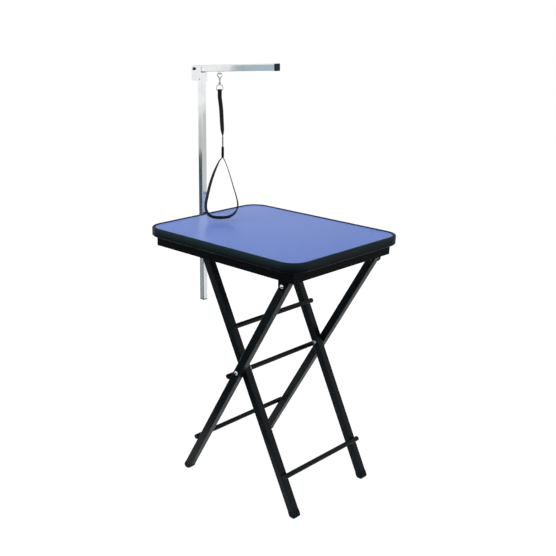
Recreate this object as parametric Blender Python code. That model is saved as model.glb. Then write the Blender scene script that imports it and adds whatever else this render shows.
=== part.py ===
# Folding dog grooming table: a blue topped table on crossed legs, with a post, an arm and a noose.
# Metres, +Z up. The floor is Z = 0. +X runs along the long side of the top, away from the post.
# Two leg frames cross at a pivot. The outer frame is hinged to the top near its right end, and the
# inner frame carries the top on two seats. The post slides in a socket on the left end of the top.

import math

import bmesh
import bpy
from mathutils import Matrix, Vector

# Clearances
GAP = 0.0003
HOLE_CLEARANCE = 0.0003
SLIDE_GAP = 0.0004

# Top: board, mat and rubber edge
TOP_LENGTH = 0.610
TOP_WIDTH = 0.487
TOP_HEIGHT = 0.808
TOP_CORNER_RADIUS = 0.058
MAT_THICKNESS = 0.002
BOARD_THICKNESS = 0.018
TRIM_WALL = 0.004
TRIM_LIP = 0.0096
TRIM_LIP_RISE = 0.0021
TRIM_FOOT_THICKNESS = 0.0040
TRIM_ROUND = 0.0036

# Steel rails under the top
RAIL_SET_IN = 0.0272
RAIL_THICKNESS = 0.0025
RAIL_FLANGE = 0.022
RAIL_DROP = 0.0583

# Legs
LEG_SIZE = 0.025
LEG_WALL = 0.0015
LEG_CORNER = 0.0025
LEG_GAP = 0.0032
OUTER_LEAN = math.radians(29.25)
INNER_LEAN = math.radians(27.45)
PIVOT_FROM_RIGHT_END = 0.2425
PIVOT_HEIGHT = 0.4232
OUTER_LEG_PAST_HINGE = 0.030
PLUG_FLANGE = 0.002
PLUG_DEPTH = 0.016
FOOT_LENGTH = 0.022
FOOT_ROUND = 0.009
FOOT_SPIGOT = 0.018

# Cross bars
BAR_DIAMETER = 0.016
BAR_WALL = 0.0015
BAR_VENT = 0.0015
INNER_UPPER_BAR = 0.133
INNER_LOWER_BAR = -0.345
OUTER_MIDDLE_BAR = -0.0387
OUTER_LOWER_BAR = -0.340

# Leg pivots
PIVOT_BOLT_RADIUS = 0.004
PIVOT_HEAD_RADIUS = 0.0065
PIVOT_HEAD_HEIGHT = 0.0035
PIVOT_NUT_ACROSS = 0.013
PIVOT_NUT_HEIGHT = 0.005
PIVOT_BOLT_TAIL = 0.002
WASHER_RADIUS = 0.010

# Top hinge
HINGE_DROP = 0.0736
HINGE_PLATE = 0.0029
HINGE_PLATE_HALF_WIDTH = 0.014
HINGE_PIN_RADIUS = 0.004
HINGE_HEAD_RADIUS = 0.0062
HINGE_HEAD_HEIGHT = 0.0030
HINGE_SWAGE_RADIUS = 0.006
HINGE_SWAGE_HEIGHT = 0.0018
HINGE_WASHER = 0.002

# Seats that hold the inner legs' tops
SEAT_CLEARANCE = 0.0004
SEAT_LIP_DROP = 0.006
SEAT_LIP = 0.005
SEAT_PAST_LEG = 0.004
SEAT_WIDTH = 0.028
SWING_CLEARANCE = 0.0016

# Post and its socket
POST_SIZE = 0.019
POST_WALL = 0.0012
POST_CORNER = 0.002
POST_BEYOND_TOP = 0.0125
POST_Y = 0.013
POST_BOTTOM = 0.516
POST_LENGTH = 0.7230
POST_PLUG = 0.004
SOCKET_WALL = 0.0022
SOCKET_BELOW_TRIM = 0.0035
SOCKET_HEIGHT = 0.036
SOCKET_PLATE = 0.003
SOCKET_PLATE_WIDTH = 0.070
SOCKET_RIB = 0.003
SOCKET_RIB_OFFSET = 0.0085
SOCKET_BOLT_SPREAD = 0.026
SOCKET_BOLT_RADIUS = 0.003
SOCKET_HEAD_RADIUS = 0.005
SOCKET_HEAD_HEIGHT = 0.003
CLAMP_SCREW_RADIUS = 0.003
CLAMP_BOSS_RADIUS = 0.0065
CLAMP_BOSS_LENGTH = 0.005
CLAMP_NECK = 0.0055
CLAMP_KNOB_RADIUS = 0.015
CLAMP_KNOB_LENGTH = 0.014
CLAMP_KNOB_LOBES = 6
CLAMP_KNOB_DEPTH = 0.0016

# Arm and the folded bracket that carries it
ARM_SIZE = 0.019
ARM_WALL = 0.0012
ARM_CORNER = 0.002
ARM_RISE = math.radians(2.86)
ARM_LENGTH = 0.3384
ARM_PIVOT_ABOVE_POST = 0.0095
ARM_PIVOT_BEHIND_POST = 0.0127
ARM_PAST_PIVOT = 0.0085
ARM_CAP_LENGTH = 0.0053
BRACKET_PLATE = 0.0018
BRACKET_PAST_PIVOT = 0.0123
BRACKET_SET_BACK = 0.0015
BRACKET_BELOW_PIVOT = 0.0345
BRACKET_ABOVE_PIVOT = 0.0078
RIVET_RADIUS = 0.0024
RIVET_HEAD_RADIUS = 0.0042
RIVET_HEAD_HEIGHT = 0.0016
RIVET_BELOW_PIVOT = 0.0275
ARM_BOLT_RADIUS = 0.002
ARM_BOLT_HEAD_RADIUS = 0.0042
ARM_BOLT_HEAD_HEIGHT = 0.0025
ARM_BOLT_PAST_KNOB = 0.004
ARM_KNOB_RADIUS = 0.0042
ARM_KNOB_LENGTH = 0.004

# Wire staple under the arm
STAPLE_FROM_POST = 0.078
STAPLE_WIRE = 0.00125
STAPLE_HALF_WIDTH = 0.0060
STAPLE_DROP = 0.0060
STAPLE_TAIL = 0.0030

# Snap hook, swivel ring and noose. They hang in an upright plane turned to the arm.
HOOK_TURN = math.radians(45.0)
HOOK_WIRE = 0.0014
HOOK_BODY_RADIUS = 0.0036
HOOK_BOW_HALF_WIDTH = 0.0080
HOOK_BOW_HEIGHT = 0.0125
HOOK_BODY_LENGTH = 0.0165
SWIVEL_RADIUS = 0.0017
SWIVEL_DEPTH = 0.0060
SWIVEL_NECK = 0.0016
RING_WIRE = 0.0012
RING_HALF_WIDTH = 0.0096
RING_HALF_HEIGHT = 0.0076
RING_UPPER_CORNER = 0.006
RING_LOWER_CORNER = 0.003
GATE_ANGLE_GAP = 0.0004
GATE_WIRE = 0.0011
GATE_EYE = (0.0033, 0.0122)
GATE_EYE_RADIUS = 0.0018
GATE_EYE_LENGTH = 0.0032
EAR_THICKNESS = 0.0009
EAR_HALF_WIDTH = 0.0016
EAR_ROOT = 0.0040
PIN_RADIUS = 0.0006
PIN_CLEARANCE = 0.0002
STRAP_WIDTH = 0.0125
STRAP_THICKNESS = 0.0018
STRAND_HALF_SPACING = 0.0012
SLIDER_WIDTH = 0.0160
SLIDER_DEPTH = 0.0080
SLIDER_LENGTH = 0.0310
SLIDER_GAP = 0.0004
NOOSE_CLEARANCE = 0.0050
NOOSE_LEAN = 0.060
NOOSE_LOW_TWIST = math.radians(60)

# Worked out from the sizes above
TRIM_EDGE = TRIM_WALL + GAP
BOARD_TOP = TOP_HEIGHT - MAT_THICKNESS - GAP
BOARD_BOTTOM = BOARD_TOP - BOARD_THICKNESS
RAIL_TOP = BOARD_BOTTOM - GAP
RAIL_BOTTOM = TOP_HEIGHT - RAIL_DROP
FRAME_HALF_X = TOP_LENGTH / 2 - RAIL_SET_IN
FRAME_HALF_Y = TOP_WIDTH / 2 - RAIL_SET_IN
HINGE_PLATE_Y = FRAME_HALF_Y - RAIL_THICKNESS - GAP - HINGE_PLATE / 2
HINGE_WASHER_Y = HINGE_PLATE_Y - HINGE_PLATE / 2 - GAP - HINGE_WASHER / 2
OUTER_LEG_Y = HINGE_WASHER_Y - HINGE_WASHER / 2 - GAP - LEG_SIZE / 2
INNER_LEG_Y = OUTER_LEG_Y - LEG_SIZE - LEG_GAP
SOCKET_OUTER = POST_SIZE + 2 * (SLIDE_GAP + SOCKET_WALL)
CLAMP_REACH = SOCKET_OUTER / 2 + CLAMP_BOSS_LENGTH + CLAMP_NECK + CLAMP_KNOB_LENGTH
BRACKET_REACH = POST_SIZE / 2 + ARM_PIVOT_BEHIND_POST + BRACKET_PAST_PIVOT
LEFT_REACH = POST_BEYOND_TOP + max(CLAMP_REACH, BRACKET_REACH)
TOP_X = LEFT_REACH / 2
PIVOT = Vector((TOP_X + TOP_LENGTH / 2 - PIVOT_FROM_RIGHT_END, 0, PIVOT_HEIGHT))
OUTER_UP = Vector((math.sin(OUTER_LEAN), 0, math.cos(OUTER_LEAN)))
OUTER_FACE = Vector((-math.cos(OUTER_LEAN), 0, math.sin(OUTER_LEAN)))
INNER_UP = Vector((-math.sin(INNER_LEAN), 0, math.cos(INNER_LEAN)))
INNER_FACE = Vector((math.cos(INNER_LEAN), 0, math.sin(INNER_LEAN)))
HINGE_HEIGHT = TOP_HEIGHT - HINGE_DROP
HINGE_REACH = (HINGE_HEIGHT - PIVOT_HEIGHT) / math.cos(OUTER_LEAN)
HINGE = PIVOT + OUTER_UP * HINGE_REACH
INNER_REACH = BOARD_BOTTOM - PIVOT_HEIGHT - SWING_CLEARANCE
POST_X = TOP_X - TOP_LENGTH / 2 - POST_BEYOND_TOP
POST_TOP = POST_BOTTOM + POST_LENGTH
SOCKET_TOP = BOARD_BOTTOM - GAP - TRIM_FOOT_THICKNESS - SOCKET_BELOW_TRIM
SOCKET_MIDDLE = SOCKET_TOP - SOCKET_HEIGHT / 2
ARM_PIVOT_HEIGHT = POST_TOP + ARM_PIVOT_ABOVE_POST
ARM_PIVOT = Vector((POST_X - POST_SIZE / 2 - ARM_PIVOT_BEHIND_POST, POST_Y, ARM_PIVOT_HEIGHT))
ARM_ALONG = Vector((math.cos(ARM_RISE), 0, math.sin(ARM_RISE)))
ARM_UPWARD = Vector((-math.sin(ARM_RISE), 0, math.cos(ARM_RISE)))
STAPLE_ALONG = (STAPLE_FROM_POST + POST_X - ARM_PIVOT.x) / ARM_ALONG.x
STAPLE_POINT = ARM_PIVOT + ARM_ALONG * STAPLE_ALONG - ARM_UPWARD * (ARM_SIZE / 2)
HOOK_SIDE = Vector((math.cos(HOOK_TURN), math.sin(HOOK_TURN), 0))
HOOK_NORMAL = Vector((math.sin(HOOK_TURN), -math.cos(HOOK_TURN), 0))
HOOK_SWING = STAPLE_POINT - ARM_UPWARD * (STAPLE_DROP + STAPLE_WIRE)
HOOK_TOP = HOOK_SWING + Vector((0, 0, STAPLE_WIRE + HOOK_WIRE + GAP))

SIDES = {"near": -1, "far": 1}


def material(name, colour, roughness, metallic):
    """A Principled material with a base colour, roughness and metallic value."""
    made = bpy.data.materials.new(name)
    made.use_nodes = True
    made.diffuse_color = (*colour, 1)
    shader = made.node_tree.nodes["Principled BSDF"]
    shader.inputs["Base Color"].default_value = (*colour, 1)
    shader.inputs["Roughness"].default_value = roughness
    shader.inputs["Metallic"].default_value = metallic
    return made


def empty(name, point, parent=None):
    """An empty on a joint's axis, which carries the pieces that move with it."""
    made = bpy.data.objects.new(name, None)
    bpy.context.collection.objects.link(made)
    made.location = Vector(point) - (parent["world"] if parent else Vector((0, 0, 0)))
    made.parent = parent["object"] if parent else None
    return {"object": made, "world": Vector(point)}


def add(name, bm, look, carrier, location=(0, 0, 0), rotation=(0, 0, 0)):
    """Turns a bmesh into a named object at a place in the world, carried by a joint's empty."""
    bmesh.ops.recalc_face_normals(bm, faces=bm.faces)
    mesh = bpy.data.meshes.new(name)
    bm.to_mesh(mesh)
    bm.free()
    made = bpy.data.objects.new(name, mesh)
    bpy.context.collection.objects.link(made)
    made.parent = carrier["object"]
    made.location = Vector(location) - carrier["world"]
    made.rotation_euler = rotation
    mesh.materials.append(look)
    mesh.shade_smooth()
    mesh.set_sharp_from_angle(angle=math.radians(32))
    return made


def guide(name, bm, operation, target, carrier, location=(0, 0, 0), rotation=(0, 0, 0)):
    """Cuts a hidden shape out of an object, or joins it on."""
    bmesh.ops.recalc_face_normals(bm, faces=bm.faces)
    mesh = bpy.data.meshes.new(name)
    bm.to_mesh(mesh)
    bm.free()
    made = bpy.data.objects.new(name, mesh)
    bpy.context.collection.objects.link(made)
    made.parent = carrier["object"]
    made.location = Vector(location) - carrier["world"]
    made.rotation_euler = rotation
    made.hide_render = True
    made.display_type = "WIRE"
    change = target.modifiers.new(name, "BOOLEAN")
    change.operation = operation
    change.solver = "EXACT"
    change.object = made


def box(low, high):
    """A bmesh box between two corners."""
    bm = bmesh.new()
    bmesh.ops.create_cube(bm, size=1)
    low, high = Vector(low), Vector(high)
    middle = (low + high) / 2
    for vertex in bm.verts:
        vertex.co = Vector(v * s for v, s in zip(vertex.co, high - low)) + middle
    return bm


def ring_faces(bm, first, second):
    """Joins two closed loops of the same length with quads."""
    count = len(first)
    for index in range(count):
        after = (index + 1) % count
        bm.faces.new((first[index], first[after], second[after], second[index]))


def rounded_square(width, depth, radius, steps=3):
    """Points of a rectangle with round corners, centred on the origin."""
    points = []
    for corner in range(4):
        sign_x = 1 if corner in (0, 3) else -1
        sign_y = 1 if corner in (0, 1) else -1
        centre = (sign_x * (width / 2 - radius), sign_y * (depth / 2 - radius))
        for step in range(steps + 1):
            angle = math.pi / 2 * (corner + step / steps)
            points.append((centre[0] + radius * math.cos(angle), centre[1] + radius * math.sin(angle)))
    return points


def square_tube(size, wall, corner, length):
    """An open square tube along +Z from the origin, with round corners outside and inside."""
    bm = bmesh.new()
    inner_corner = max(corner - wall, corner * 0.3)
    rings = []
    for outline in (rounded_square(size, size, corner),
                    rounded_square(size - 2 * wall, size - 2 * wall, inner_corner)):
        rings.append([[bm.verts.new((x, y, z)) for x, y in outline] for z in (0, length)])
    (outer_low, outer_high), (inner_low, inner_high) = rings
    ring_faces(bm, outer_low, outer_high)
    ring_faces(bm, inner_high, inner_low)
    ring_faces(bm, inner_low, outer_low)
    ring_faces(bm, outer_high, inner_high)
    return bm


def stepped_block(levels):
    """A solid along +Z of rounded rectangles: each level is (height, width, depth, corner)."""
    bm = bmesh.new()
    loops = []
    for height, width, depth, corner in levels:
        outline = rounded_square(width, depth, corner, steps=2)
        loops.append([bm.verts.new((x, y, height)) for x, y in outline])
    for below, above in zip(loops, loops[1:]):
        ring_faces(bm, below, above)
    bm.faces.new(list(reversed(loops[0])))
    bm.faces.new(loops[-1])
    return bm


def turned(levels, sides=16):
    """A solid turned about +Z: each level is (height, radius)."""
    bm = bmesh.new()
    loops = []
    for height, radius in levels:
        loops.append([bm.verts.new((radius * math.cos(2 * math.pi * k / sides),
                                    radius * math.sin(2 * math.pi * k / sides), height))
                      for k in range(sides)])
    for below, above in zip(loops, loops[1:]):
        ring_faces(bm, below, above)
    bm.faces.new(list(reversed(loops[0])))
    bm.faces.new(loops[-1])
    return bm


def washer_ring(radius, hole, height, sides=16):
    """A flat ring along +Z from the origin."""
    bm = bmesh.new()
    loops = []
    for size, z in ((radius, 0), (radius, height), (hole, height), (hole, 0)):
        loops.append([bm.verts.new((size * math.cos(2 * math.pi * k / sides),
                                    size * math.sin(2 * math.pi * k / sides), z))
                      for k in range(sides)])
    for index, loop in enumerate(loops):
        ring_faces(bm, loop, loops[(index + 1) % len(loops)])
    return bm


def plate(outline, thickness):
    """An outline in X and Z, extruded along Y by a thickness centred on Y = 0."""
    bm = bmesh.new()
    loops = [[bm.verts.new((x, side * thickness / 2, z)) for x, z in outline] for side in (-1, 1)]
    ring_faces(bm, loops[0], loops[1])
    bm.faces.new(list(reversed(loops[0])))
    bm.faces.new(loops[1])
    return bm


def round_corners(corners, steps=4):
    """An outline whose corners are rounded: each corner is (x, z, radius)."""
    points = []
    count = len(corners)
    for index, (x, z, radius) in enumerate(corners):
        here = Vector((x, z))
        if radius == 0:
            points.append((x, z))
            continue
        before = (Vector(corners[index - 1][:2]) - here).normalized()
        after = (Vector(corners[(index + 1) % count][:2]) - here).normalized()
        half = before.angle(after) / 2
        centre = here + (before + after).normalized() * (radius / math.sin(half))
        start = here + before * (radius / math.tan(half)) - centre
        end = here + after * (radius / math.tan(half)) - centre
        turn = start.angle_signed(end)
        for step in range(steps + 1):
            angle = -turn * step / steps
            point = centre + Matrix.Rotation(angle, 2) @ start
            points.append((point.x, point.y))
    return points


def sweep(points, radii, sides=8, closed=False):
    """A round wire through points, with a radius at each, capped unless it is closed."""
    bm = bmesh.new()
    count = len(points)
    across = None
    loops = []
    for index, point in enumerate(points):
        if closed:
            along = points[(index + 1) % count] - points[index - 1]
        else:
            along = points[min(index + 1, count - 1)] - points[max(index - 1, 0)]
        along.normalize()
        if across is None:
            across = along.orthogonal().normalized()
        across = (across - along * across.dot(along)).normalized()
        other = along.cross(across)
        loops.append([bm.verts.new(point + (across * math.cos(2 * math.pi * k / sides)
                                            + other * math.sin(2 * math.pi * k / sides)) * radii[index])
                      for k in range(sides)])
    for below, above in zip(loops, loops[1:]):
        ring_faces(bm, below, above)
    if closed:
        ring_faces(bm, loops[-1], loops[0])
    else:
        bm.faces.new(list(reversed(loops[0])))
        bm.faces.new(loops[-1])
    return bm


def smooth_path(points, samples):
    """Reads a Catmull-Rom curve through a list of vectors of any size, evenly in parameter."""
    count = len(points) - 1
    made = []
    for index in range(samples + 1):
        place = index / samples * count
        start = min(int(place), count - 1)
        t = place - start
        p0, p1 = points[max(start - 1, 0)], points[start]
        p2, p3 = points[start + 1], points[min(start + 2, count)]
        made.append(tuple(
            0.5 * (2 * b + (c - a) * t + (2 * a - 5 * b + 4 * c - d) * t ** 2
                   + (3 * b - a - 3 * c + d) * t ** 3)
            for a, b, c, d in zip(p0, p1, p2, p3)))
    return made


def ribbon(rows):
    """Flat webbing through rows of (point, the way its width runs)."""
    bm = bmesh.new()
    loops = []
    for index, (point, wide) in enumerate(rows):
        along = rows[min(index + 1, len(rows) - 1)][0] - rows[max(index - 1, 0)][0]
        along.normalize()
        wide = (wide - along * wide.dot(along)).normalized()
        thick = along.cross(wide)
        loops.append([bm.verts.new(point + wide * (STRAP_WIDTH / 2 * a) + thick * (STRAP_THICKNESS / 2 * b))
                      for a, b in ((1, 1), (-1, 1), (-1, -1), (1, -1))])
    for below, above in zip(loops, loops[1:]):
        ring_faces(bm, below, above)
    bm.faces.new(list(reversed(loops[0])))
    bm.faces.new(loops[-1])
    return bm


def twisted(points, twists):
    """Rows of webbing whose width lies along the hook's normal, turned by a twist at each point."""
    rows = []
    for index, point in enumerate(points):
        along = points[min(index + 1, len(points) - 1)] - points[max(index - 1, 0)]
        along.normalize()
        wide = HOOK_NORMAL - along * HOOK_NORMAL.dot(along)
        rows.append((point, Matrix.Rotation(twists[index], 3, along) @ wide.normalized()))
    return rows


def edge_loop(offset, corner_steps=7):
    """Points of the top's rounded outline in X and Y, moved outwards by an offset."""
    outline = rounded_square(TOP_LENGTH + 2 * offset, TOP_WIDTH + 2 * offset,
                             TOP_CORNER_RADIUS + offset, corner_steps)
    return [(TOP_X + x, y) for x, y in outline]


def slab(offset, low, high):
    """A flat piece with the top's outline moved by an offset."""
    bm = bmesh.new()
    loops = [[bm.verts.new((x, y, z)) for x, y in edge_loop(offset)] for z in (low, high)]
    ring_faces(bm, loops[0], loops[1])
    bm.faces.new(list(reversed(loops[0])))
    bm.faces.new(loops[1])
    return bm


def trim_profile():
    """The rubber edge's section as (offset from the top's edge, height), a C around the board."""
    above = BOARD_TOP + GAP
    crest = TOP_HEIGHT + TRIM_LIP_RISE
    below = BOARD_BOTTOM - GAP
    foot = below - TRIM_FOOT_THICKNESS
    profile = [(-TRIM_LIP, above), (-TRIM_LIP, crest - TRIM_LIP_RISE / 2), (-TRIM_LIP + TRIM_LIP_RISE, crest)]
    for step in range(4):
        angle = math.pi / 2 * (1 - step / 3)
        profile.append((-TRIM_ROUND + TRIM_ROUND * math.cos(angle),
                        crest - TRIM_ROUND + TRIM_ROUND * math.sin(angle)))
    for step in range(4):
        angle = -math.pi / 2 * step / 3
        profile.append((-TRIM_ROUND + TRIM_ROUND * math.cos(angle),
                        foot + TRIM_ROUND + TRIM_ROUND * math.sin(angle)))
    profile += [(-TRIM_LIP, foot), (-TRIM_LIP, below), (-TRIM_WALL, below), (-TRIM_WALL, above)]
    return profile


def build_top(top, looks):
    """Board, mat and edge trim."""
    add("top_board", slab(-TRIM_EDGE, BOARD_BOTTOM, BOARD_TOP), looks["board"], top)
    add("top_mat", slab(-TRIM_LIP - GAP, TOP_HEIGHT - MAT_THICKNESS, TOP_HEIGHT), looks["blue"], top)
    bm = bmesh.new()
    loops = [[bm.verts.new((x, y, height)) for x, y in edge_loop(offset)]
             for offset, height in trim_profile()]
    for index, loop in enumerate(loops):
        ring_faces(bm, loop, loops[(index + 1) % len(loops)])
    add("edge_trim", bm, looks["rubber"], top)


def build_rails(top, looks):
    """Four angle rails under the board. The long ones run through, the short ones fit between."""
    for side, sign in SIDES.items():
        outer, inner = sign * FRAME_HALF_Y, sign * (FRAME_HALF_Y - RAIL_THICKNESS)
        edge = sign * (FRAME_HALF_Y - RAIL_FLANGE)
        left, right = TOP_X - FRAME_HALF_X, TOP_X + FRAME_HALF_X
        name = f"{side}_rail"
        web = box((left, min(outer, inner), RAIL_BOTTOM), (right, max(outer, inner), RAIL_TOP))
        rail = add(name, web, looks["steel"], top)
        flange = box((left, min(edge, outer), RAIL_TOP - RAIL_THICKNESS), (right, max(edge, outer), RAIL_TOP))
        guide(f"{name}_flange", flange, "UNION", rail, top)
    reach = FRAME_HALF_Y - RAIL_THICKNESS - GAP
    flange_reach = FRAME_HALF_Y - RAIL_FLANGE - GAP
    web_top = RAIL_TOP - RAIL_THICKNESS - GAP
    for name, sign in (("left_rail", -1), ("right_rail", 1)):
        outer, inner = TOP_X + sign * FRAME_HALF_X, TOP_X + sign * (FRAME_HALF_X - RAIL_THICKNESS)
        edge = TOP_X + sign * (FRAME_HALF_X - RAIL_FLANGE)
        web = box((min(outer, inner), -reach, RAIL_BOTTOM), (max(outer, inner), reach, web_top))
        rail = add(name, web, looks["steel"], top)
        angle = [(outer, RAIL_BOTTOM), (outer, RAIL_TOP), (edge, RAIL_TOP), (edge, RAIL_TOP - RAIL_THICKNESS),
                 (inner, RAIL_TOP - RAIL_THICKNESS), (inner, RAIL_BOTTOM)]
        guide(f"{name}_angle", plate(angle, 2 * flange_reach), "UNION", rail, top)


def leg_rotation(up):
    """The turn about Y that takes +Z onto a leg's upward direction."""
    return (0, math.atan2(up.x, up.z), 0)


def drill(name, target, carrier, point, radius, reach):
    """A round hole along Y through a piece."""
    guide(name, turned([(-reach, radius), (reach, radius)]), "DIFFERENCE", target, carrier,
          point, (math.pi / 2, 0, 0))


def build_leg(frame, name, y, up, low, high, holes, carrier, looks):
    """A square leg tube from low to high along its direction, with holes at given places."""
    start = PIVOT + up * low
    bm = square_tube(LEG_SIZE, LEG_WALL, LEG_CORNER, high - low)
    leg = add(f"{frame}_leg_{name}", bm, looks["black"], carrier, (start.x, y, start.z), leg_rotation(up))
    for label, place, radius in holes:
        point = PIVOT + up * place
        drill(f"{frame}_leg_{name}_{label}", leg, carrier, (point.x, y, point.z), radius, LEG_SIZE)


def build_plug(name, end, y, up, carrier, looks):
    """A plastic plug in a leg's top end."""
    inside = LEG_SIZE - 2 * LEG_WALL - 2 * GAP
    corner = max(LEG_CORNER - LEG_WALL, LEG_CORNER * 0.3)
    bm = stepped_block([(-PLUG_DEPTH, inside, inside, corner), (GAP, inside, inside, corner),
                        (GAP, LEG_SIZE, LEG_SIZE, LEG_CORNER), (PLUG_FLANGE, LEG_SIZE, LEG_SIZE, LEG_CORNER)])
    add(name, bm, looks["plastic"], carrier, (end.x, y, end.z), leg_rotation(up))


def build_foot(name, y, up, face, carrier, looks):
    """A rubber foot: it closes the tube, rounds the end and stands flat on the floor."""
    floor = PIVOT - up * (PIVOT_HEIGHT / up.z)
    top = floor + up * FOOT_LENGTH
    half = face * (LEG_SIZE / 2)
    corners = []
    for sign in (-1, 1):
        edge = top + half * sign
        ground = edge - up * (edge.z / up.z)
        pair = [(edge.x, edge.z, 0), (ground.x, ground.z, FOOT_ROUND)]
        corners += pair if sign < 0 else list(reversed(pair))
    outline = [(x - floor.x, z) for x, z in round_corners(corners, steps=5)]
    foot = add(name, plate(outline, LEG_SIZE), looks["foot"], carrier, (floor.x, y, 0))
    inside = LEG_SIZE - 2 * LEG_WALL - 2 * GAP
    corner = max(LEG_CORNER - LEG_WALL, LEG_CORNER * 0.3)
    spigot = stepped_block([(-FOOT_LENGTH / 4, inside, inside, corner), (FOOT_SPIGOT, inside, inside, corner)])
    guide(f"{name}_spigot", spigot, "UNION", foot, carrier, (top.x, y, top.z), leg_rotation(up))


def build_bar(name, place, up, face, half_length, carrier, looks):
    """A round cross bar on the legs' faces: a tube with closed ends and a vent hole underneath."""
    radius = BAR_DIAMETER / 2
    centre = PIVOT + up * place + face * (LEG_SIZE / 2 + radius + GAP)
    turn = (math.pi / 2, 0, 0)
    bar = add(name, turned([(-half_length, radius), (half_length, radius)]), looks["black"], carrier,
              centre, turn)
    hollow = half_length - BAR_WALL
    guide(f"{name}_hollow", turned([(-hollow, radius - BAR_WALL), (hollow, radius - BAR_WALL)]),
          "DIFFERENCE", bar, carrier, centre, turn)
    guide(f"{name}_vent", turned([(-radius * 1.5, BAR_VENT), (0, BAR_VENT)], sides=8), "DIFFERENCE", bar,
          carrier, centre)


def build_outer_frame(outer, looks):
    """Two outer legs, two cross bars, plugs and feet."""
    bottom = FOOT_LENGTH - PIVOT_HEIGHT / OUTER_UP.z + GAP
    top = HINGE_REACH + OUTER_LEG_PAST_HINGE
    for side, sign in SIDES.items():
        y = sign * OUTER_LEG_Y
        holes = [("pivot_hole", 0, PIVOT_BOLT_RADIUS + HOLE_CLEARANCE),
                 ("hinge_hole", HINGE_REACH, HINGE_PIN_RADIUS + HOLE_CLEARANCE)]
        build_leg("outer", side, y, OUTER_UP, bottom, top, holes, outer, looks)
        build_plug(f"outer_leg_plug_{side}", PIVOT + OUTER_UP * top, y, OUTER_UP, outer, looks)
        build_foot(f"outer_foot_{side}", y, OUTER_UP, -OUTER_FACE, outer, looks)
    half = OUTER_LEG_Y + LEG_SIZE / 2
    build_bar("outer_middle_bar", OUTER_MIDDLE_BAR, OUTER_UP, OUTER_FACE, half, outer, looks)
    build_bar("outer_lower_bar", OUTER_LOWER_BAR, OUTER_UP, OUTER_FACE, half, outer, looks)


def build_inner_frame(inner, looks):
    """Two inner legs, two cross bars, plugs and feet."""
    bottom = FOOT_LENGTH - PIVOT_HEIGHT / INNER_UP.z + GAP
    top = INNER_REACH - PLUG_FLANGE
    for side, sign in SIDES.items():
        y = sign * INNER_LEG_Y
        holes = [("pivot_hole", 0, PIVOT_BOLT_RADIUS + HOLE_CLEARANCE)]
        build_leg("inner", side, y, INNER_UP, bottom, top, holes, inner, looks)
        build_plug(f"inner_leg_plug_{side}", PIVOT + INNER_UP * top, y, INNER_UP, inner, looks)
        build_foot(f"inner_foot_{side}", y, INNER_UP, INNER_FACE, inner, looks)
    half = INNER_LEG_Y + LEG_SIZE / 2
    build_bar("inner_upper_bar", INNER_UPPER_BAR, INNER_UP, INNER_FACE, half, inner, looks)
    build_bar("inner_lower_bar", INNER_LOWER_BAR, INNER_UP, INNER_FACE, half, inner, looks)


def build_pivots(outer, inner, looks):
    """Bolts with dome heads outside, washers between the legs and nuts inside."""
    for side, sign in SIDES.items():
        turn = (sign * math.pi / 2, 0, 0)
        head_y = OUTER_LEG_Y + LEG_SIZE / 2 + GAP
        nut_y = INNER_LEG_Y - LEG_SIZE / 2 - GAP
        tail_y = nut_y - PIVOT_NUT_HEIGHT - PIVOT_BOLT_TAIL
        bolt = turned([(-PIVOT_HEAD_HEIGHT, PIVOT_HEAD_RADIUS * 0.45),
                       (-PIVOT_HEAD_HEIGHT * 0.8, PIVOT_HEAD_RADIUS * 0.75), (-PIVOT_HEAD_HEIGHT * 0.35,
                       PIVOT_HEAD_RADIUS * 0.97), (0, PIVOT_HEAD_RADIUS), (0, PIVOT_BOLT_RADIUS),
                       (head_y - tail_y, PIVOT_BOLT_RADIUS)])
        add(f"pivot_bolt_{side}", bolt, looks["chrome"], outer, (PIVOT.x, sign * head_y, PIVOT.z), turn)
        washer = washer_ring(WASHER_RADIUS, PIVOT_BOLT_RADIUS + HOLE_CLEARANCE, LEG_GAP - 2 * GAP)
        washer_y = OUTER_LEG_Y - LEG_SIZE / 2 - GAP
        add(f"pivot_washer_{side}", washer, looks["plastic"], inner, (PIVOT.x, sign * washer_y, PIVOT.z), turn)
        nut = hex_nut(PIVOT_NUT_ACROSS, PIVOT_BOLT_RADIUS + HOLE_CLEARANCE, PIVOT_NUT_HEIGHT)
        add(f"pivot_nut_{side}", nut, looks["chrome"], inner, (PIVOT.x, sign * nut_y, PIVOT.z), turn)


def hex_nut(across, hole, height):
    """A six sided nut along +Z with a round hole."""
    bm = bmesh.new()
    sides = 12
    corner = across / 2 / math.cos(math.pi / 6)
    loops = []
    for outer, z in ((True, 0), (True, height), (False, height), (False, 0)):
        loop = []
        for k in range(sides):
            angle = 2 * math.pi * k / sides
            radius = (corner if k % 2 == 0 else across / 2) if outer else hole
            loop.append(bm.verts.new((radius * math.cos(angle), radius * math.sin(angle), z)))
        loops.append(loop)
    for index, loop in enumerate(loops):
        ring_faces(bm, loop, loops[(index + 1) % len(loops)])
    return bm


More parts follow.
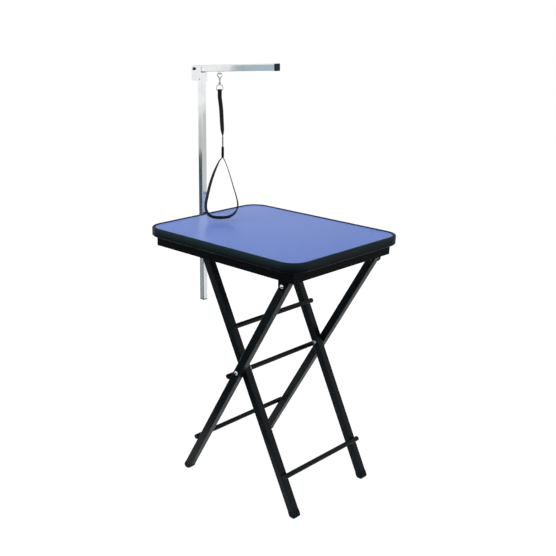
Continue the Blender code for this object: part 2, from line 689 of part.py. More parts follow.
def build_hinge(top, looks):
    """Hinge plates inside the long rails, with a pin through each outer leg."""
    for side, sign in SIDES.items():
        half = HINGE_PLATE_HALF_WIDTH
        high = RAIL_TOP - RAIL_THICKNESS - GAP - HINGE.z
        outline = [(half, high), (-half, high)]
        for step in range(9):
            angle = math.pi + math.pi * step / 8
            outline.append((half * math.cos(angle), half * math.sin(angle)))
        y = sign * HINGE_PLATE_Y
        name = f"hinge_plate_{side}"
        made = add(name, plate(outline, HINGE_PLATE), looks["black"], top, (HINGE.x, y, HINGE.z))
        drill(f"{name}_hole", made, top, (HINGE.x, y, HINGE.z), HINGE_PIN_RADIUS + HOLE_CLEARANCE, HINGE_PLATE * 2)
        turn = (sign * math.pi / 2, 0, 0)
        washer = washer_ring(WASHER_RADIUS, HINGE_PIN_RADIUS + HOLE_CLEARANCE, HINGE_WASHER)
        add(f"hinge_washer_{side}", washer, looks["plastic"], top,
            (HINGE.x, sign * (HINGE_WASHER_Y + HINGE_WASHER / 2), HINGE.z), turn)
        head_y = HINGE_PLATE_Y + HINGE_PLATE / 2 + GAP
        swage = head_y - (OUTER_LEG_Y - LEG_SIZE / 2 - GAP)
        pin = turned([(-HINGE_HEAD_HEIGHT, HINGE_HEAD_RADIUS * 0.45),
                      (-HINGE_HEAD_HEIGHT * 0.8, HINGE_HEAD_RADIUS * 0.75),
                      (-HINGE_HEAD_HEIGHT * 0.35, HINGE_HEAD_RADIUS * 0.97), (0, HINGE_HEAD_RADIUS),
                      (0, HINGE_PIN_RADIUS), (swage, HINGE_PIN_RADIUS), (swage, HINGE_SWAGE_RADIUS),
                      (swage + HINGE_SWAGE_HEIGHT * 0.6, HINGE_SWAGE_RADIUS * 0.95),
                      (swage + HINGE_SWAGE_HEIGHT, HINGE_SWAGE_RADIUS * 0.6)])
        add(f"hinge_pin_{side}", pin, looks["chrome"], top, (HINGE.x, sign * head_y, HINGE.z), turn)


def build_seats(top, looks):
    """Moulded seats under the board: a face square to each inner leg, and a lip that keeps the
    legs from spreading."""
    half = LEG_SIZE / 2
    corner = PIVOT + INNER_UP * INNER_REACH - INNER_FACE * half
    stop_x = corner.x - SEAT_CLEARANCE
    face = PIVOT + INNER_UP * (INNER_REACH + SEAT_CLEARANCE)
    slope = INNER_FACE.z / INNER_FACE.x
    right = face + INNER_FACE * (half + SEAT_PAST_LEG)
    join_z = face.z + (stop_x - face.x) * slope
    seat_top = BOARD_BOTTOM - GAP
    lip_z = corner.z - SEAT_LIP_DROP
    outline = [(stop_x - SEAT_LIP, lip_z), (stop_x, lip_z), (stop_x, join_z), (right.x, right.z),
               (right.x, seat_top), (stop_x - SEAT_LIP, seat_top)]
    for side, sign in SIDES.items():
        local = [(x - face.x, z) for x, z in outline]
        add(f"leg_seat_{side}", plate(local, SEAT_WIDTH), looks["plastic"], top,
            (face.x, sign * INNER_LEG_Y, 0))


def build_socket(top, clamp, looks):
    """The post's socket: a sleeve carried by two ribs on a plate, bolted to the left rail."""
    half = SOCKET_HEIGHT / 2
    bore = POST_SIZE + 2 * SLIDE_GAP
    rail_face = TOP_X - FRAME_HALF_X
    plate_out = rail_face - GAP - SOCKET_PLATE
    low, high = SOCKET_MIDDLE - half, SOCKET_TOP
    wide = SOCKET_PLATE_WIDTH / 2
    socket = add("post_socket", box((plate_out, POST_Y - wide, low), (rail_face - GAP, POST_Y + wide, high)),
                 looks["steel"], top)
    sleeve_edge = POST_X + SOCKET_OUTER / 2
    for side, sign in SIDES.items():
        rib_y = POST_Y + sign * SOCKET_RIB_OFFSET
        rib = box((sleeve_edge - SOCKET_WALL / 2, rib_y - SOCKET_RIB / 2, low + SOCKET_WALL),
                  (plate_out + SOCKET_PLATE / 2, rib_y + SOCKET_RIB / 2, high - SOCKET_WALL))
        guide(f"post_socket_rib_{side}", rib, "UNION", socket, top)
    outer_half = SOCKET_OUTER / 2
    sleeve = box((POST_X - outer_half, POST_Y - outer_half, low), (POST_X + outer_half, POST_Y + outer_half, high))
    guide("post_socket_sleeve", sleeve, "UNION", socket, top)
    axis = (POST_X - outer_half, POST_Y, SOCKET_MIDDLE)
    turn = (0, -math.pi / 2, 0)
    boss = turned([(-SOCKET_WALL / 2, CLAMP_BOSS_RADIUS), (CLAMP_BOSS_LENGTH, CLAMP_BOSS_RADIUS)])
    guide("post_socket_boss", boss, "UNION", socket, top, axis, turn)
    bore_cut = box((POST_X - bore / 2, POST_Y - bore / 2, low - SOCKET_WALL),
                   (POST_X + bore / 2, POST_Y + bore / 2, high + SOCKET_WALL))
    guide("post_socket_bore", bore_cut, "DIFFERENCE", socket, top)
    thread = turned([(-SOCKET_WALL * 1.5, CLAMP_SCREW_RADIUS + HOLE_CLEARANCE),
                     (CLAMP_BOSS_LENGTH * 2, CLAMP_SCREW_RADIUS + HOLE_CLEARANCE)])
    guide("post_socket_thread", thread, "DIFFERENCE", socket, top, axis, turn)
    left_rail = bpy.data.objects["left_rail"]
    for side, sign in SIDES.items():
        point = (plate_out, POST_Y + sign * SOCKET_BOLT_SPREAD, SOCKET_MIDDLE)
        hole = SOCKET_BOLT_RADIUS + HOLE_CLEARANCE
        reach = SOCKET_PLATE + RAIL_THICKNESS
        for label, target in (("plate", socket), ("rail", left_rail)):
            guide(f"{label}_bolt_hole_{side}", turned([(-2 * reach, hole), (reach, hole)]), "DIFFERENCE",
                  target, top, point, turn)
        tail = SOCKET_PLATE + RAIL_THICKNESS + 3 * GAP
        bolt = turned([(-tail - SOCKET_HEAD_HEIGHT, SOCKET_HEAD_RADIUS), (-tail, SOCKET_HEAD_RADIUS),
                       (-tail, SOCKET_BOLT_RADIUS), (GAP, SOCKET_BOLT_RADIUS), (GAP, SOCKET_HEAD_RADIUS),
                       (GAP + SOCKET_HEAD_HEIGHT * 0.6, SOCKET_HEAD_RADIUS * 0.95),
                       (GAP + SOCKET_HEAD_HEIGHT, SOCKET_HEAD_RADIUS * 0.6)], sides=12)
        add(f"socket_bolt_{side}", bolt, looks["steel"], top, point, turn)
    neck = outer_half + CLAMP_BOSS_LENGTH + CLAMP_NECK
    tip = POST_SIZE / 2 + GAP
    centre = (POST_X, POST_Y, SOCKET_MIDDLE)
    screw = turned([(tip, CLAMP_SCREW_RADIUS * 0.7), (tip + CLAMP_SCREW_RADIUS * 0.3, CLAMP_SCREW_RADIUS),
                    (neck - GAP, CLAMP_SCREW_RADIUS)])
    add("clamp_screw", screw, looks["chrome"], clamp, centre, turn)
    add("clamp_knob", lobed_knob(neck), looks["plastic"], clamp, centre, turn)


def lobed_knob(start):
    """A round knob along +Z with shallow finger lobes, starting at a height."""
    bm = bmesh.new()
    sides = CLAMP_KNOB_LOBES * 4
    loops = []
    for height, share in ((0, 0.55), (CLAMP_KNOB_LENGTH * 0.25, 1.0), (CLAMP_KNOB_LENGTH * 0.85, 1.0),
                          (CLAMP_KNOB_LENGTH, 0.82)):
        loop = []
        for k in range(sides):
            angle = 2 * math.pi * k / sides
            lobe = CLAMP_KNOB_DEPTH * math.cos(CLAMP_KNOB_LOBES * angle)
            radius = (CLAMP_KNOB_RADIUS - CLAMP_KNOB_DEPTH + lobe) * share
            loop.append(bm.verts.new((radius * math.cos(angle), radius * math.sin(angle), start + height)))
        loops.append(loop)
    for below, above in zip(loops, loops[1:]):
        ring_faces(bm, below, above)
    bm.faces.new(list(reversed(loops[0])))
    bm.faces.new(loops[-1])
    return bm


def build_post(post, looks):
    """The square post, its bottom plug, and the folded bracket riveted to its top."""
    tube = square_tube(POST_SIZE, POST_WALL, POST_CORNER, POST_LENGTH)
    pole = add("post_tube", tube, looks["chrome"], post, (POST_X, POST_Y, POST_BOTTOM))
    inside = POST_SIZE - 2 * POST_WALL - 2 * GAP
    corner = max(POST_CORNER - POST_WALL, POST_CORNER * 0.3)
    cap = stepped_block([(-POST_PLUG, POST_SIZE * 0.8, POST_SIZE * 0.8, POST_CORNER),
                         (-POST_PLUG * 0.6, POST_SIZE, POST_SIZE, POST_CORNER),
                         (-GAP, POST_SIZE, POST_SIZE, POST_CORNER), (-GAP, inside, inside, corner),
                         (PLUG_DEPTH, inside, inside, corner)])
    add("post_plug", cap, looks["plastic"], post, (POST_X, POST_Y, POST_BOTTOM))

    low, high = ARM_PIVOT.z - BRACKET_BELOW_PIVOT, ARM_PIVOT.z + BRACKET_ABOVE_PIVOT
    left = ARM_PIVOT.x - BRACKET_PAST_PIVOT
    web = POST_X + POST_SIZE / 2 + GAP
    right = web + BRACKET_PLATE
    slot = ARM_SIZE / 2 + SLIDE_GAP
    half = slot + BRACKET_PLATE
    bracket = add("arm_bracket", box((left - ARM_PIVOT.x, -half, -BRACKET_BELOW_PIVOT),
                                     (right - ARM_PIVOT.x, half, BRACKET_ABOVE_PIVOT)), looks["chrome"], post,
                  ARM_PIVOT)
    channel = box((left - BRACKET_PLATE, POST_Y - slot, low - BRACKET_PLATE),
                  (web, POST_Y + slot, high + BRACKET_PLATE))
    guide("arm_bracket_channel", channel, "DIFFERENCE", bracket, post)
    web_top = POST_TOP - GAP
    cheek_end = POST_X + POST_SIZE / 2 - BRACKET_SET_BACK
    mouth = box((cheek_end, POST_Y - half - BRACKET_PLATE, web_top),
                (right + BRACKET_PLATE, POST_Y + half + BRACKET_PLATE, high + BRACKET_PLATE))
    guide("arm_bracket_mouth", mouth, "DIFFERENCE", bracket, post)
    drill("arm_bracket_pivot_hole", bracket, post, ARM_PIVOT, ARM_BOLT_RADIUS + HOLE_CLEARANCE, half * 2)
    rivet_point = Vector((POST_X, POST_Y, ARM_PIVOT.z - RIVET_BELOW_PIVOT))
    for label, target in (("bracket", bracket), ("post", pole)):
        drill(f"{label}_rivet_hole", target, post, rivet_point, RIVET_RADIUS + HOLE_CLEARANCE, half * 2)
    face = half + GAP
    rivet = turned([(-face - RIVET_HEAD_HEIGHT, RIVET_HEAD_RADIUS * 0.55), (-face, RIVET_HEAD_RADIUS),
                    (-face, RIVET_RADIUS), (face, RIVET_RADIUS), (face, RIVET_HEAD_RADIUS),
                    (face + RIVET_HEAD_HEIGHT, RIVET_HEAD_RADIUS * 0.55)], sides=12)
    add("bracket_rivet", rivet, looks["chrome"], post, rivet_point, (math.pi / 2, 0, 0))
    bolt = turned([(-face - ARM_BOLT_HEAD_HEIGHT, ARM_BOLT_HEAD_RADIUS * 0.6), (-face, ARM_BOLT_HEAD_RADIUS),
                   (-face, ARM_BOLT_RADIUS), (face + ARM_KNOB_LENGTH + ARM_BOLT_PAST_KNOB, ARM_BOLT_RADIUS)],
                  sides=12)
    add("arm_pivot_bolt", bolt, looks["chrome"], post, ARM_PIVOT, (math.pi / 2, 0, 0))


def build_arm_knob(knob, looks):
    """The small black knob on the arm's pivot bolt, on the near side."""
    start = ARM_SIZE / 2 + SLIDE_GAP + BRACKET_PLATE + GAP
    bm = turned([(start, ARM_KNOB_RADIUS * 0.8), (start + ARM_KNOB_LENGTH * 0.2, ARM_KNOB_RADIUS),
                 (start + ARM_KNOB_LENGTH * 0.8, ARM_KNOB_RADIUS),
                 (start + ARM_KNOB_LENGTH, ARM_KNOB_RADIUS * 0.7)])
    made = add("arm_knob", bm, looks["plastic"], knob, ARM_PIVOT, (math.pi / 2, 0, 0))
    hole = turned([(0, ARM_BOLT_RADIUS + HOLE_CLEARANCE),
                   (start + ARM_KNOB_LENGTH * 2, ARM_BOLT_RADIUS + HOLE_CLEARANCE)], sides=12)
    guide("arm_knob_hole", hole, "DIFFERENCE", made, knob, ARM_PIVOT, (math.pi / 2, 0, 0))


def build_arm(arm, looks):
    """The square arm, its caps and the wire staple that the hook hangs on."""
    turn = (0, math.pi / 2 - ARM_RISE, 0)
    start = ARM_PIVOT - ARM_ALONG * ARM_PAST_PIVOT
    tube = square_tube(ARM_SIZE, ARM_WALL, ARM_CORNER, ARM_LENGTH)
    beam = add("arm_tube", tube, looks["chrome"], arm, start, turn)
    drill("arm_pivot_hole", beam, arm, ARM_PIVOT, ARM_BOLT_RADIUS + HOLE_CLEARANCE, ARM_SIZE)
    inside = ARM_SIZE - 2 * ARM_WALL - 2 * GAP
    corner = max(ARM_CORNER - ARM_WALL, ARM_CORNER * 0.3)
    end = start + ARM_ALONG * ARM_LENGTH
    cap = stepped_block([(-PLUG_DEPTH, inside, inside, corner), (GAP, inside, inside, corner),
                         (GAP, ARM_SIZE + 2 * GAP, ARM_SIZE + 2 * GAP, ARM_CORNER),
                         (ARM_CAP_LENGTH * 0.94, ARM_SIZE + 2 * GAP, ARM_SIZE + 2 * GAP, ARM_CORNER),
                         (ARM_CAP_LENGTH, ARM_SIZE - ARM_WALL, ARM_SIZE - ARM_WALL, ARM_CORNER)])
    add("arm_end_cap", cap, looks["plastic"], arm, end, turn)
    edge = STAPLE_WIRE * 1.5
    for label, sign in (("back", -1), ("front", 1)):
        point = STAPLE_POINT + ARM_ALONG * (STAPLE_HALF_WIDTH * sign)
        guide(f"staple_hole_{label}", turned([(-ARM_WALL * 2, STAPLE_WIRE + HOLE_CLEARANCE),
                                              (ARM_WALL * 2, STAPLE_WIRE + HOLE_CLEARANCE)], sides=12),
              "DIFFERENCE", beam, arm, point, (0, -ARM_RISE, 0))
    low = -STAPLE_DROP - STAPLE_WIRE
    bend = STAPLE_HALF_WIDTH - edge
    path = [(-STAPLE_HALF_WIDTH, STAPLE_TAIL), (-STAPLE_HALF_WIDTH, low + edge)]
    path += [(-bend - edge * math.cos(a), low + edge - edge * math.sin(a)) for a in (0.52, 1.05, 1.57)]
    path += [(bend + edge * math.cos(a), low + edge - edge * math.sin(a)) for a in (1.57, 1.05, 0.52)]
    path += [(STAPLE_HALF_WIDTH, low + edge), (STAPLE_HALF_WIDTH, STAPLE_TAIL)]
    points = [STAPLE_POINT + ARM_ALONG * x + ARM_UPWARD * z for x, z in path]
    local = [point - STAPLE_POINT for point in points]
    add("hook_staple", sweep(local, [STAPLE_WIRE] * len(local)), looks["chrome"], arm, STAPLE_POINT)


def hook_point(side, down, forward=0.0):
    """A point in the hook's plane: across it, below the hook's top, and towards the front."""
    return HOOK_SIDE * side - Vector((0, 0, down)) + HOOK_NORMAL * forward


def build_hook(hook, gate, looks):
    """The snap hook's bow and body in one piece, and its gate."""
    wide, tall = HOOK_BOW_HALF_WIDTH, HOOK_BOW_HEIGHT
    body = HOOK_BODY_RADIUS
    neck = tall + HOOK_WIRE
    path = [(wide * 0.97, 0.0040, HOOK_WIRE * 0.9), (wide * 0.80, 0.0019, HOOK_WIRE),
            (wide * 0.45, 0.0004, HOOK_WIRE), (0, 0, HOOK_WIRE), (-wide * 0.45, 0.0004, HOOK_WIRE),
            (-wide * 0.80, 0.0019, HOOK_WIRE), (-wide * 0.98, 0.0042, HOOK_WIRE),
            (-wide * 0.78, tall * 0.62, HOOK_WIRE * 1.1), (-wide * 0.40, tall * 0.92, HOOK_WIRE * 1.25),
            (-wide * 0.08, neck + 0.0005, body * 0.6), (0, neck + 0.0032, body * 0.85),
            (0, neck + 0.0060, body * 0.72), (0, neck + HOOK_BODY_LENGTH * 0.62, body * 0.72),
            (0, neck + HOOK_BODY_LENGTH * 0.74, body), (0, neck + HOOK_BODY_LENGTH, body)]
    points = [hook_point(side, down) for side, down, _ in path]
    made = add("snap_hook", sweep(points, [radius for _, _, radius in path], sides=10), looks["hook"], hook,
               HOOK_TOP)
    bottom = neck + HOOK_BODY_LENGTH
    bore = turned([(-GAP * 2, SWIVEL_RADIUS + HOLE_CLEARANCE), (SWIVEL_DEPTH + GAP, SWIVEL_RADIUS + HOLE_CLEARANCE)],
                  sides=12)
    guide("snap_hook_bore", bore, "DIFFERENCE", made, hook, HOOK_TOP - Vector((0, 0, bottom)))
    eye_side, eye_down = GATE_EYE
    turn = (0, 0, HOOK_TURN)
    lean = math.atan2(eye_side, neck + EAR_ROOT - eye_down)
    middle = HOOK_TOP + hook_point(eye_side / 2, (eye_down + neck + EAR_ROOT) / 2)
    reach = math.hypot(eye_side, neck + EAR_ROOT - eye_down) / 2
    inside = GATE_EYE_LENGTH / 2 + GAP
    for side, sign in SIDES.items():
        edges = sorted((sign * inside, sign * (inside + EAR_THICKNESS)))
        ear = box((-EAR_HALF_WIDTH, edges[0], -reach), (EAR_HALF_WIDTH, edges[1], reach + EAR_HALF_WIDTH))
        guide(f"snap_hook_ear_{side}", ear, "UNION", made, hook, middle, (0, lean, HOOK_TURN))
    eye = gate["world"]
    across = (math.pi / 2, 0, HOOK_TURN)
    hole = turned([(-inside * 3, PIN_RADIUS + PIN_CLEARANCE), (inside * 3, PIN_RADIUS + PIN_CLEARANCE)], sides=10)
    guide("snap_hook_pin_hole", hole, "DIFFERENCE", made, hook, eye, across)
    end = inside + EAR_THICKNESS + GAP
    pin = turned([(-end - PIN_RADIUS * 0.5, PIN_RADIUS * 1.6), (-end, PIN_RADIUS * 1.6), (-end, PIN_RADIUS),
                  (end, PIN_RADIUS), (end, PIN_RADIUS * 1.6), (end + PIN_RADIUS * 0.5, PIN_RADIUS * 1.6)],
                 sides=10)
    add("gate_pin", pin, looks["hook"], hook, eye, across)
    half = GATE_EYE_LENGTH / 2
    latch = add("hook_gate", turned([(-half, GATE_EYE_RADIUS), (half, GATE_EYE_RADIUS)], sides=14),
                looks["hook"], gate, eye, across)
    tip = Vector((wide * 0.97 - eye_side, 0.0040 + HOOK_WIRE * 0.9 + GATE_ANGLE_GAP + GATE_WIRE - eye_down))
    stem = [hook_point(tip.x * k, tip.y * k) for k in (0.1, 0.55, 1.0)]
    guide("hook_gate_stem", sweep(stem, [GATE_WIRE] * 3), "UNION", latch, gate, eye)
    hole = turned([(-inside * 3, PIN_RADIUS + PIN_CLEARANCE), (inside * 3, PIN_RADIUS + PIN_CLEARANCE)], sides=10)
    guide("hook_gate_pin_hole", hole, "DIFFERENCE", latch, gate, eye, across)


def build_ring(swivel, looks):
    """The swivel ring under the hook: a flat oval ring on a stem that turns in the hook's body."""
    bottom = HOOK_BOW_HEIGHT + HOOK_WIRE + HOOK_BODY_LENGTH
    centre_down = bottom + SWIVEL_NECK + RING_WIRE + RING_HALF_HEIGHT
    wide, tall = RING_HALF_WIDTH, RING_HALF_HEIGHT
    outline = round_corners([(-wide, -tall, RING_LOWER_CORNER), (wide, -tall, RING_LOWER_CORNER),
                             (wide, tall, RING_UPPER_CORNER), (-wide, tall, RING_UPPER_CORNER)])
    loop = [hook_point(across, -up) for across, up in outline]
    ring = add("swivel_ring", sweep(loop, [RING_WIRE] * len(loop), closed=True), looks["hook"], swivel,
               HOOK_TOP - Vector((0, 0, centre_down)))
    stem = turned([(-RING_WIRE * 0.5, SWIVEL_RADIUS), (RING_WIRE + SWIVEL_NECK + SWIVEL_DEPTH, SWIVEL_RADIUS)],
                  sides=12)
    guide("swivel_ring_stem", stem, "UNION", ring, swivel,
          HOOK_TOP - Vector((0, 0, centre_down - RING_HALF_HEIGHT)))
    return centre_down + RING_HALF_HEIGHT


# The strap's eye round the ring: the way down from the ring's lower wire and the way forward.
STRAP_EYE = [(0.0190, -0.00105), (0.0120, -0.00105), (0.0060, -0.00170), (0.0020, -0.00235)]
# The webbing's route in the hook's plane. The strap's rows give the way across, the share of the way
# down from the ring to the sewn joint, and the twist in degrees.
STRAP_ROUTE = [(0.0010, 0.20, 89), (0.0030, 0.31, 88), (0.0047, 0.44, 86), (0.0058, 0.58, 83),
               (0.0068, 0.72, 77), (0.0079, 0.84, 64), (0.0087, 0.93, 32), (0.0092, 1.00, 0)]
# The noose's rows give the way across, the share of the way down from the slider to the lowest
# point, how far it leans forward as a share of the lean, and the twist in degrees.
NOOSE_ROUTE = [(-0.0002, 0.055, 0.017, -8), (-0.0100, 0.16, 0.083, -22), (-0.0205, 0.30, 0.18, -34),
               (-0.0300, 0.46, 0.32, -40), (-0.0375, 0.63, 0.50, -42), (-0.0428, 0.78, 0.68, -44),
               (-0.0415, 0.88, 0.80, -48), (-0.0330, 0.957, 0.90, -54), (-0.0190, 0.993, 0.967, -60),
               (0.0030, 1.000, 1.00, -60), (0.0270, 0.993, 0.95, -54), (0.0440, 0.955, 0.77, -42),
               (0.0545, 0.885, 0.57, -28), (0.0575, 0.80, 0.45, -18), (0.0520, 0.66, 0.33, -8),
               (0.0430, 0.50, 0.23, -5), (0.0340, 0.34, 0.13, -3), (0.0245, 0.18, 0.05, 0),
               (0.0163, 0.065, 0.00, 0)]
STRAP_DROP = 0.135
DOUBLED_DROP = 0.031


def build_noose(swivel, slider, strap_top, looks):
    """The flat strap, the doubled strands through the slider, and the open noose."""
    joint = strap_top + STRAP_DROP
    slider_top = joint + DOUBLED_DROP
    slider_bottom = slider_top + SLIDER_LENGTH
    lowest = (HOOK_TOP.z - TOP_HEIGHT - NOOSE_CLEARANCE - STRAP_THICKNESS / 2
              - STRAP_WIDTH / 2 * math.sin(NOOSE_LOW_TWIST))
    drop = lowest - slider_bottom
    centre = STRAP_ROUTE[-1][0]
    bend = RING_WIRE + GAP + STRAP_THICKNESS / 2
    eye = [hook_point(0, strap_top + down, forward) for down, forward in STRAP_EYE]
    eye += [hook_point(0, strap_top - bend * math.sin(math.pi * k / 8), -bend * math.cos(math.pi * k / 8))
            for k in range(9)]
    eye += [hook_point(0, strap_top + down, -forward) for down, forward in reversed(STRAP_EYE)]
    rows = [(side, strap_top + share * STRAP_DROP, math.radians(twist)) for side, share, twist in STRAP_ROUTE]
    strap = [(point, HOOK_SIDE) for point in eye]
    strap += [(hook_point(side, down), HOOK_NORMAL * math.cos(twist) + HOOK_SIDE * math.sin(twist))
              for side, down, twist in smooth_path(rows, 30)]
    add("leash_strap", ribbon(strap), looks["webbing"], swivel, HOOK_TOP)

    left, right = centre - STRAND_HALF_SPACING, centre + STRAND_HALF_SPACING
    start, leave = joint + GAP, slider_bottom + STRAP_THICKNESS / 2
    straight = [start + (leave - start) * share for share in (0, 0.33, 0.66, 1.0)]
    route = [(left, leave, 0, 0)]
    route += [(side, slider_bottom + share * drop, lean * NOOSE_LEAN, math.radians(twist))
              for side, share, lean, twist in NOOSE_ROUTE]
    route += [(right, leave, 0, 0)]
    noose = [(left, down, 0, 0) for down in straight[:-1]]
    noose += smooth_path(route, 72)
    noose += [(right, down, 0, 0) for down in reversed(straight[:-1])]
    points = [hook_point(side, down, lean) for side, down, lean, _ in noose]
    made = twisted(points, [twist for _, _, _, twist in noose])
    add("noose_loop", ribbon(made), looks["webbing"], swivel, HOOK_TOP)

    block = stepped_block([(-SLIDER_LENGTH / 2, SLIDER_DEPTH * 0.86, SLIDER_WIDTH * 0.93, 0.001),
                           (-SLIDER_LENGTH * 0.44, SLIDER_DEPTH, SLIDER_WIDTH, 0.0015),
                           (SLIDER_LENGTH * 0.44, SLIDER_DEPTH, SLIDER_WIDTH, 0.0015),
                           (SLIDER_LENGTH / 2, SLIDER_DEPTH * 0.86, SLIDER_WIDTH * 0.93, 0.001)])
    point = HOOK_TOP + hook_point(centre, (slider_top + slider_bottom) / 2)
    turn = (0, 0, HOOK_TURN)
    made = add("noose_slider", block, looks["slider"], slider, point, turn)
    slot_width = STRAP_WIDTH + 2 * SLIDER_GAP
    slot_depth = STRAP_THICKNESS + 2 * STRAND_HALF_SPACING + 2 * SLIDER_GAP
    slot = box((-slot_depth / 2, -slot_width / 2, -SLIDER_LENGTH), (slot_depth / 2, slot_width / 2, SLIDER_LENGTH))
    guide("noose_slider_slot", slot, "DIFFERENCE", made, slider, point, turn)


def build():
    """Removes what the scene holds and models the whole table."""
    for old in list(bpy.data.objects):
        bpy.data.objects.remove(old, do_unlink=True)
    looks = {
        "blue": material("blue_mat", (0.19, 0.24, 0.60), 0.55, 0.0),
        "board": material("board", (0.42, 0.30, 0.19), 0.7, 0.0),
        "rubber": material("edge_rubber", (0.012, 0.014, 0.016), 0.45, 0.0),
        "steel": material("black_steel", (0.010, 0.013, 0.016), 0.4, 0.2),
        "black": material("black_enamel", (0.008, 0.013, 0.019), 0.25, 0.2),
        "plastic": material("black_plastic", (0.012, 0.012, 0.013), 0.5, 0.0),
        "foot": material("foot_rubber", (0.011, 0.011, 0.012), 0.75, 0.0),
        "chrome": material("chrome", (0.78, 0.79, 0.80), 0.12, 1.0),
        "hook": material("hook_metal", (0.45, 0.45, 0.46), 0.3, 1.0),
        "webbing": material("webbing", (0.010, 0.010, 0.012), 0.85, 0.0),
        "slider": material("slider", (0.012, 0.012, 0.014), 0.4, 0.0),
    }
    outer = empty("outer_frame_axis", PIVOT)
    inner = empty("inner_frame_axis", PIVOT, outer)
    top = empty("table_top_axis", HINGE, outer)
    clamp = empty("clamp_axis", (POST_X, POST_Y, SOCKET_MIDDLE), top)
    post = empty("post_axis", (POST_X, POST_Y, POST_BOTTOM), top)
    arm = empty("arm_axis", ARM_PIVOT, post)
    knob = empty("arm_knob_axis", ARM_PIVOT, post)
    hook = empty("hook_axis", HOOK_SWING, arm)
    gate = empty("gate_axis", HOOK_TOP + hook_point(*GATE_EYE), hook)
    swivel = empty("swivel_axis", HOOK_TOP - Vector((0, 0, HOOK_BOW_HEIGHT + HOOK_WIRE + HOOK_BODY_LENGTH)), hook)
    slider = empty("slider_axis", HOOK_TOP + hook_point(STRAP_ROUTE[-1][0], 0), swivel)

    build_top(top, looks)
    build_rails(top, looks)
    build_outer_frame(outer, looks)
    build_inner_frame(inner, looks)
    build_pivots(outer, inner, looks)
    build_hinge(top, looks)
    build_seats(top, looks)
    build_socket(top, clamp, looks)
    build_post(post, looks)
    build_arm_knob(knob, looks)
    build_arm(arm, looks)
    build_hook(hook, gate, looks)
    strap_top = build_ring(swivel, looks)
    build_noose(swivel, slider, strap_top, looks)


build()
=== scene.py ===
"""Dresses the folding dog grooming table: finishes, webbing, stitches, screws, welds, light and camera."""

import logging
import math
from dataclasses import dataclass, field
from enum import Enum
from typing import Iterable, Sequence

import bmesh
import bpy
from mathutils import Matrix, Vector


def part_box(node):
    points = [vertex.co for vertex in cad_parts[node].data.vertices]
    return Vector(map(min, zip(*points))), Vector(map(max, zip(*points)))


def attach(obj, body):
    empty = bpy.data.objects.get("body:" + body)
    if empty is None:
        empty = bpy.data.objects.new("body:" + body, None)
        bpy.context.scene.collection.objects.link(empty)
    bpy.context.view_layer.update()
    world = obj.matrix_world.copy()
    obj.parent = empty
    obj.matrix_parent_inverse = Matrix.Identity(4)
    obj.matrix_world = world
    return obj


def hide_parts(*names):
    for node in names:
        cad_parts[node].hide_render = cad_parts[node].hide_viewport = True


LOG = logging.getLogger("grooming_table")
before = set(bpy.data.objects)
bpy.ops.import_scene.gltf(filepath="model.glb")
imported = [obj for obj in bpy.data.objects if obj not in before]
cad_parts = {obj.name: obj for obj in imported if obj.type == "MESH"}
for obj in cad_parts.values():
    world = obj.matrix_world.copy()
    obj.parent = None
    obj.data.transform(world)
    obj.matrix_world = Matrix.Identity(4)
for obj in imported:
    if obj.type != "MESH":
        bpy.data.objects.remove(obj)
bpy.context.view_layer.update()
MATERIALS: dict[str, bpy.types.Material] = {}
WHITE = (1, 1, 1, 1)
UP = Vector((0, 0, 1))

Colour = tuple[float, float, float]
Place = tuple[float, float, float]
Socket = bpy.types.NodeSocket


class Body(str, Enum):
    """The bodies that pieces ride on."""

    OUTER_FRAME = "outer_frame"
    INNER_FRAME = "inner_frame"
    TABLE_TOP = "table_top"
    CLAMP = "clamp"
    POST = "post"
    ARM_KNOB = "arm_knob"
    ARM = "arm"
    HOOK = "hook"
    GATE = "gate"
    LEASH = "leash"
    SLIDER = "slider"


@dataclass(frozen=True)
class Grain:
    """A noise pattern: its cells a metre, its octaves and how strong the finer ones are."""

    cells: float
    octaves: float = 3.0
    rough: float = 0.5


@dataclass(frozen=True)
class Relief:
    """A bump: the height of a full step in metres and the share of it that shows."""

    height: float
    strength: float


@dataclass(frozen=True)
class Span:
    """What a pattern becomes: low where its value is at start, and high where it is at end."""

    low: float
    high: float
    start: float = 0.3
    end: float = 0.7


class Wiring:
    """A node tree, with short ways to add and join its nodes."""

    def __init__(self, tree: bpy.types.NodeTree) -> None:
        """Takes up a node tree."""
        self.tree = tree

    def feed(self, socket: Socket, value: object) -> None:
        """Links a value's socket to an input, or sets the input.

        Args:
            socket: The input.
            value: A socket, a node whose first output is meant, or a plain value.
        """
        if isinstance(value, bpy.types.Node):
            value = value.outputs[0]
        if isinstance(value, Socket):
            self.tree.links.new(value, socket)
        else:
            socket.default_value = value

    def add(self, kind: str, **inputs: object) -> bpy.types.Node:
        """Adds a node and feeds its inputs.

        Args:
            kind: The node's type.
            **inputs: Input names, with underscores for spaces, and a value or a socket for each.

        Returns:
            The new node.
        """
        node = self.tree.nodes.new(kind)
        for key, value in inputs.items():
            self.feed(node.inputs[key.replace("_", " ")], value)
        return node

    def math(self, operation: str, *values: object) -> Socket:
        """Works out a number.

        Args:
            operation: Blender's name of the operation.
            *values: A number or a socket for each input.

        Returns:
            The result's socket.
        """
        node = self.tree.nodes.new("ShaderNodeMath")
        node.operation = operation
        for socket, value in zip(node.inputs, values):
            self.feed(socket, value)
        return node.outputs[0]

    def mixed(self, share: Socket, first: object, second: object) -> Socket:
        """Mixes two shaders.

        Args:
            share: How much of the second shader shows.
            first: A shader's node or socket.
            second: A shader's node or socket.

        Returns:
            The mixed shader.
        """
        node = self.tree.nodes.new("ShaderNodeMixShader")
        for socket, value in zip(node.inputs, (share, first, second)):
            self.feed(socket, value)
        return node.outputs[0]


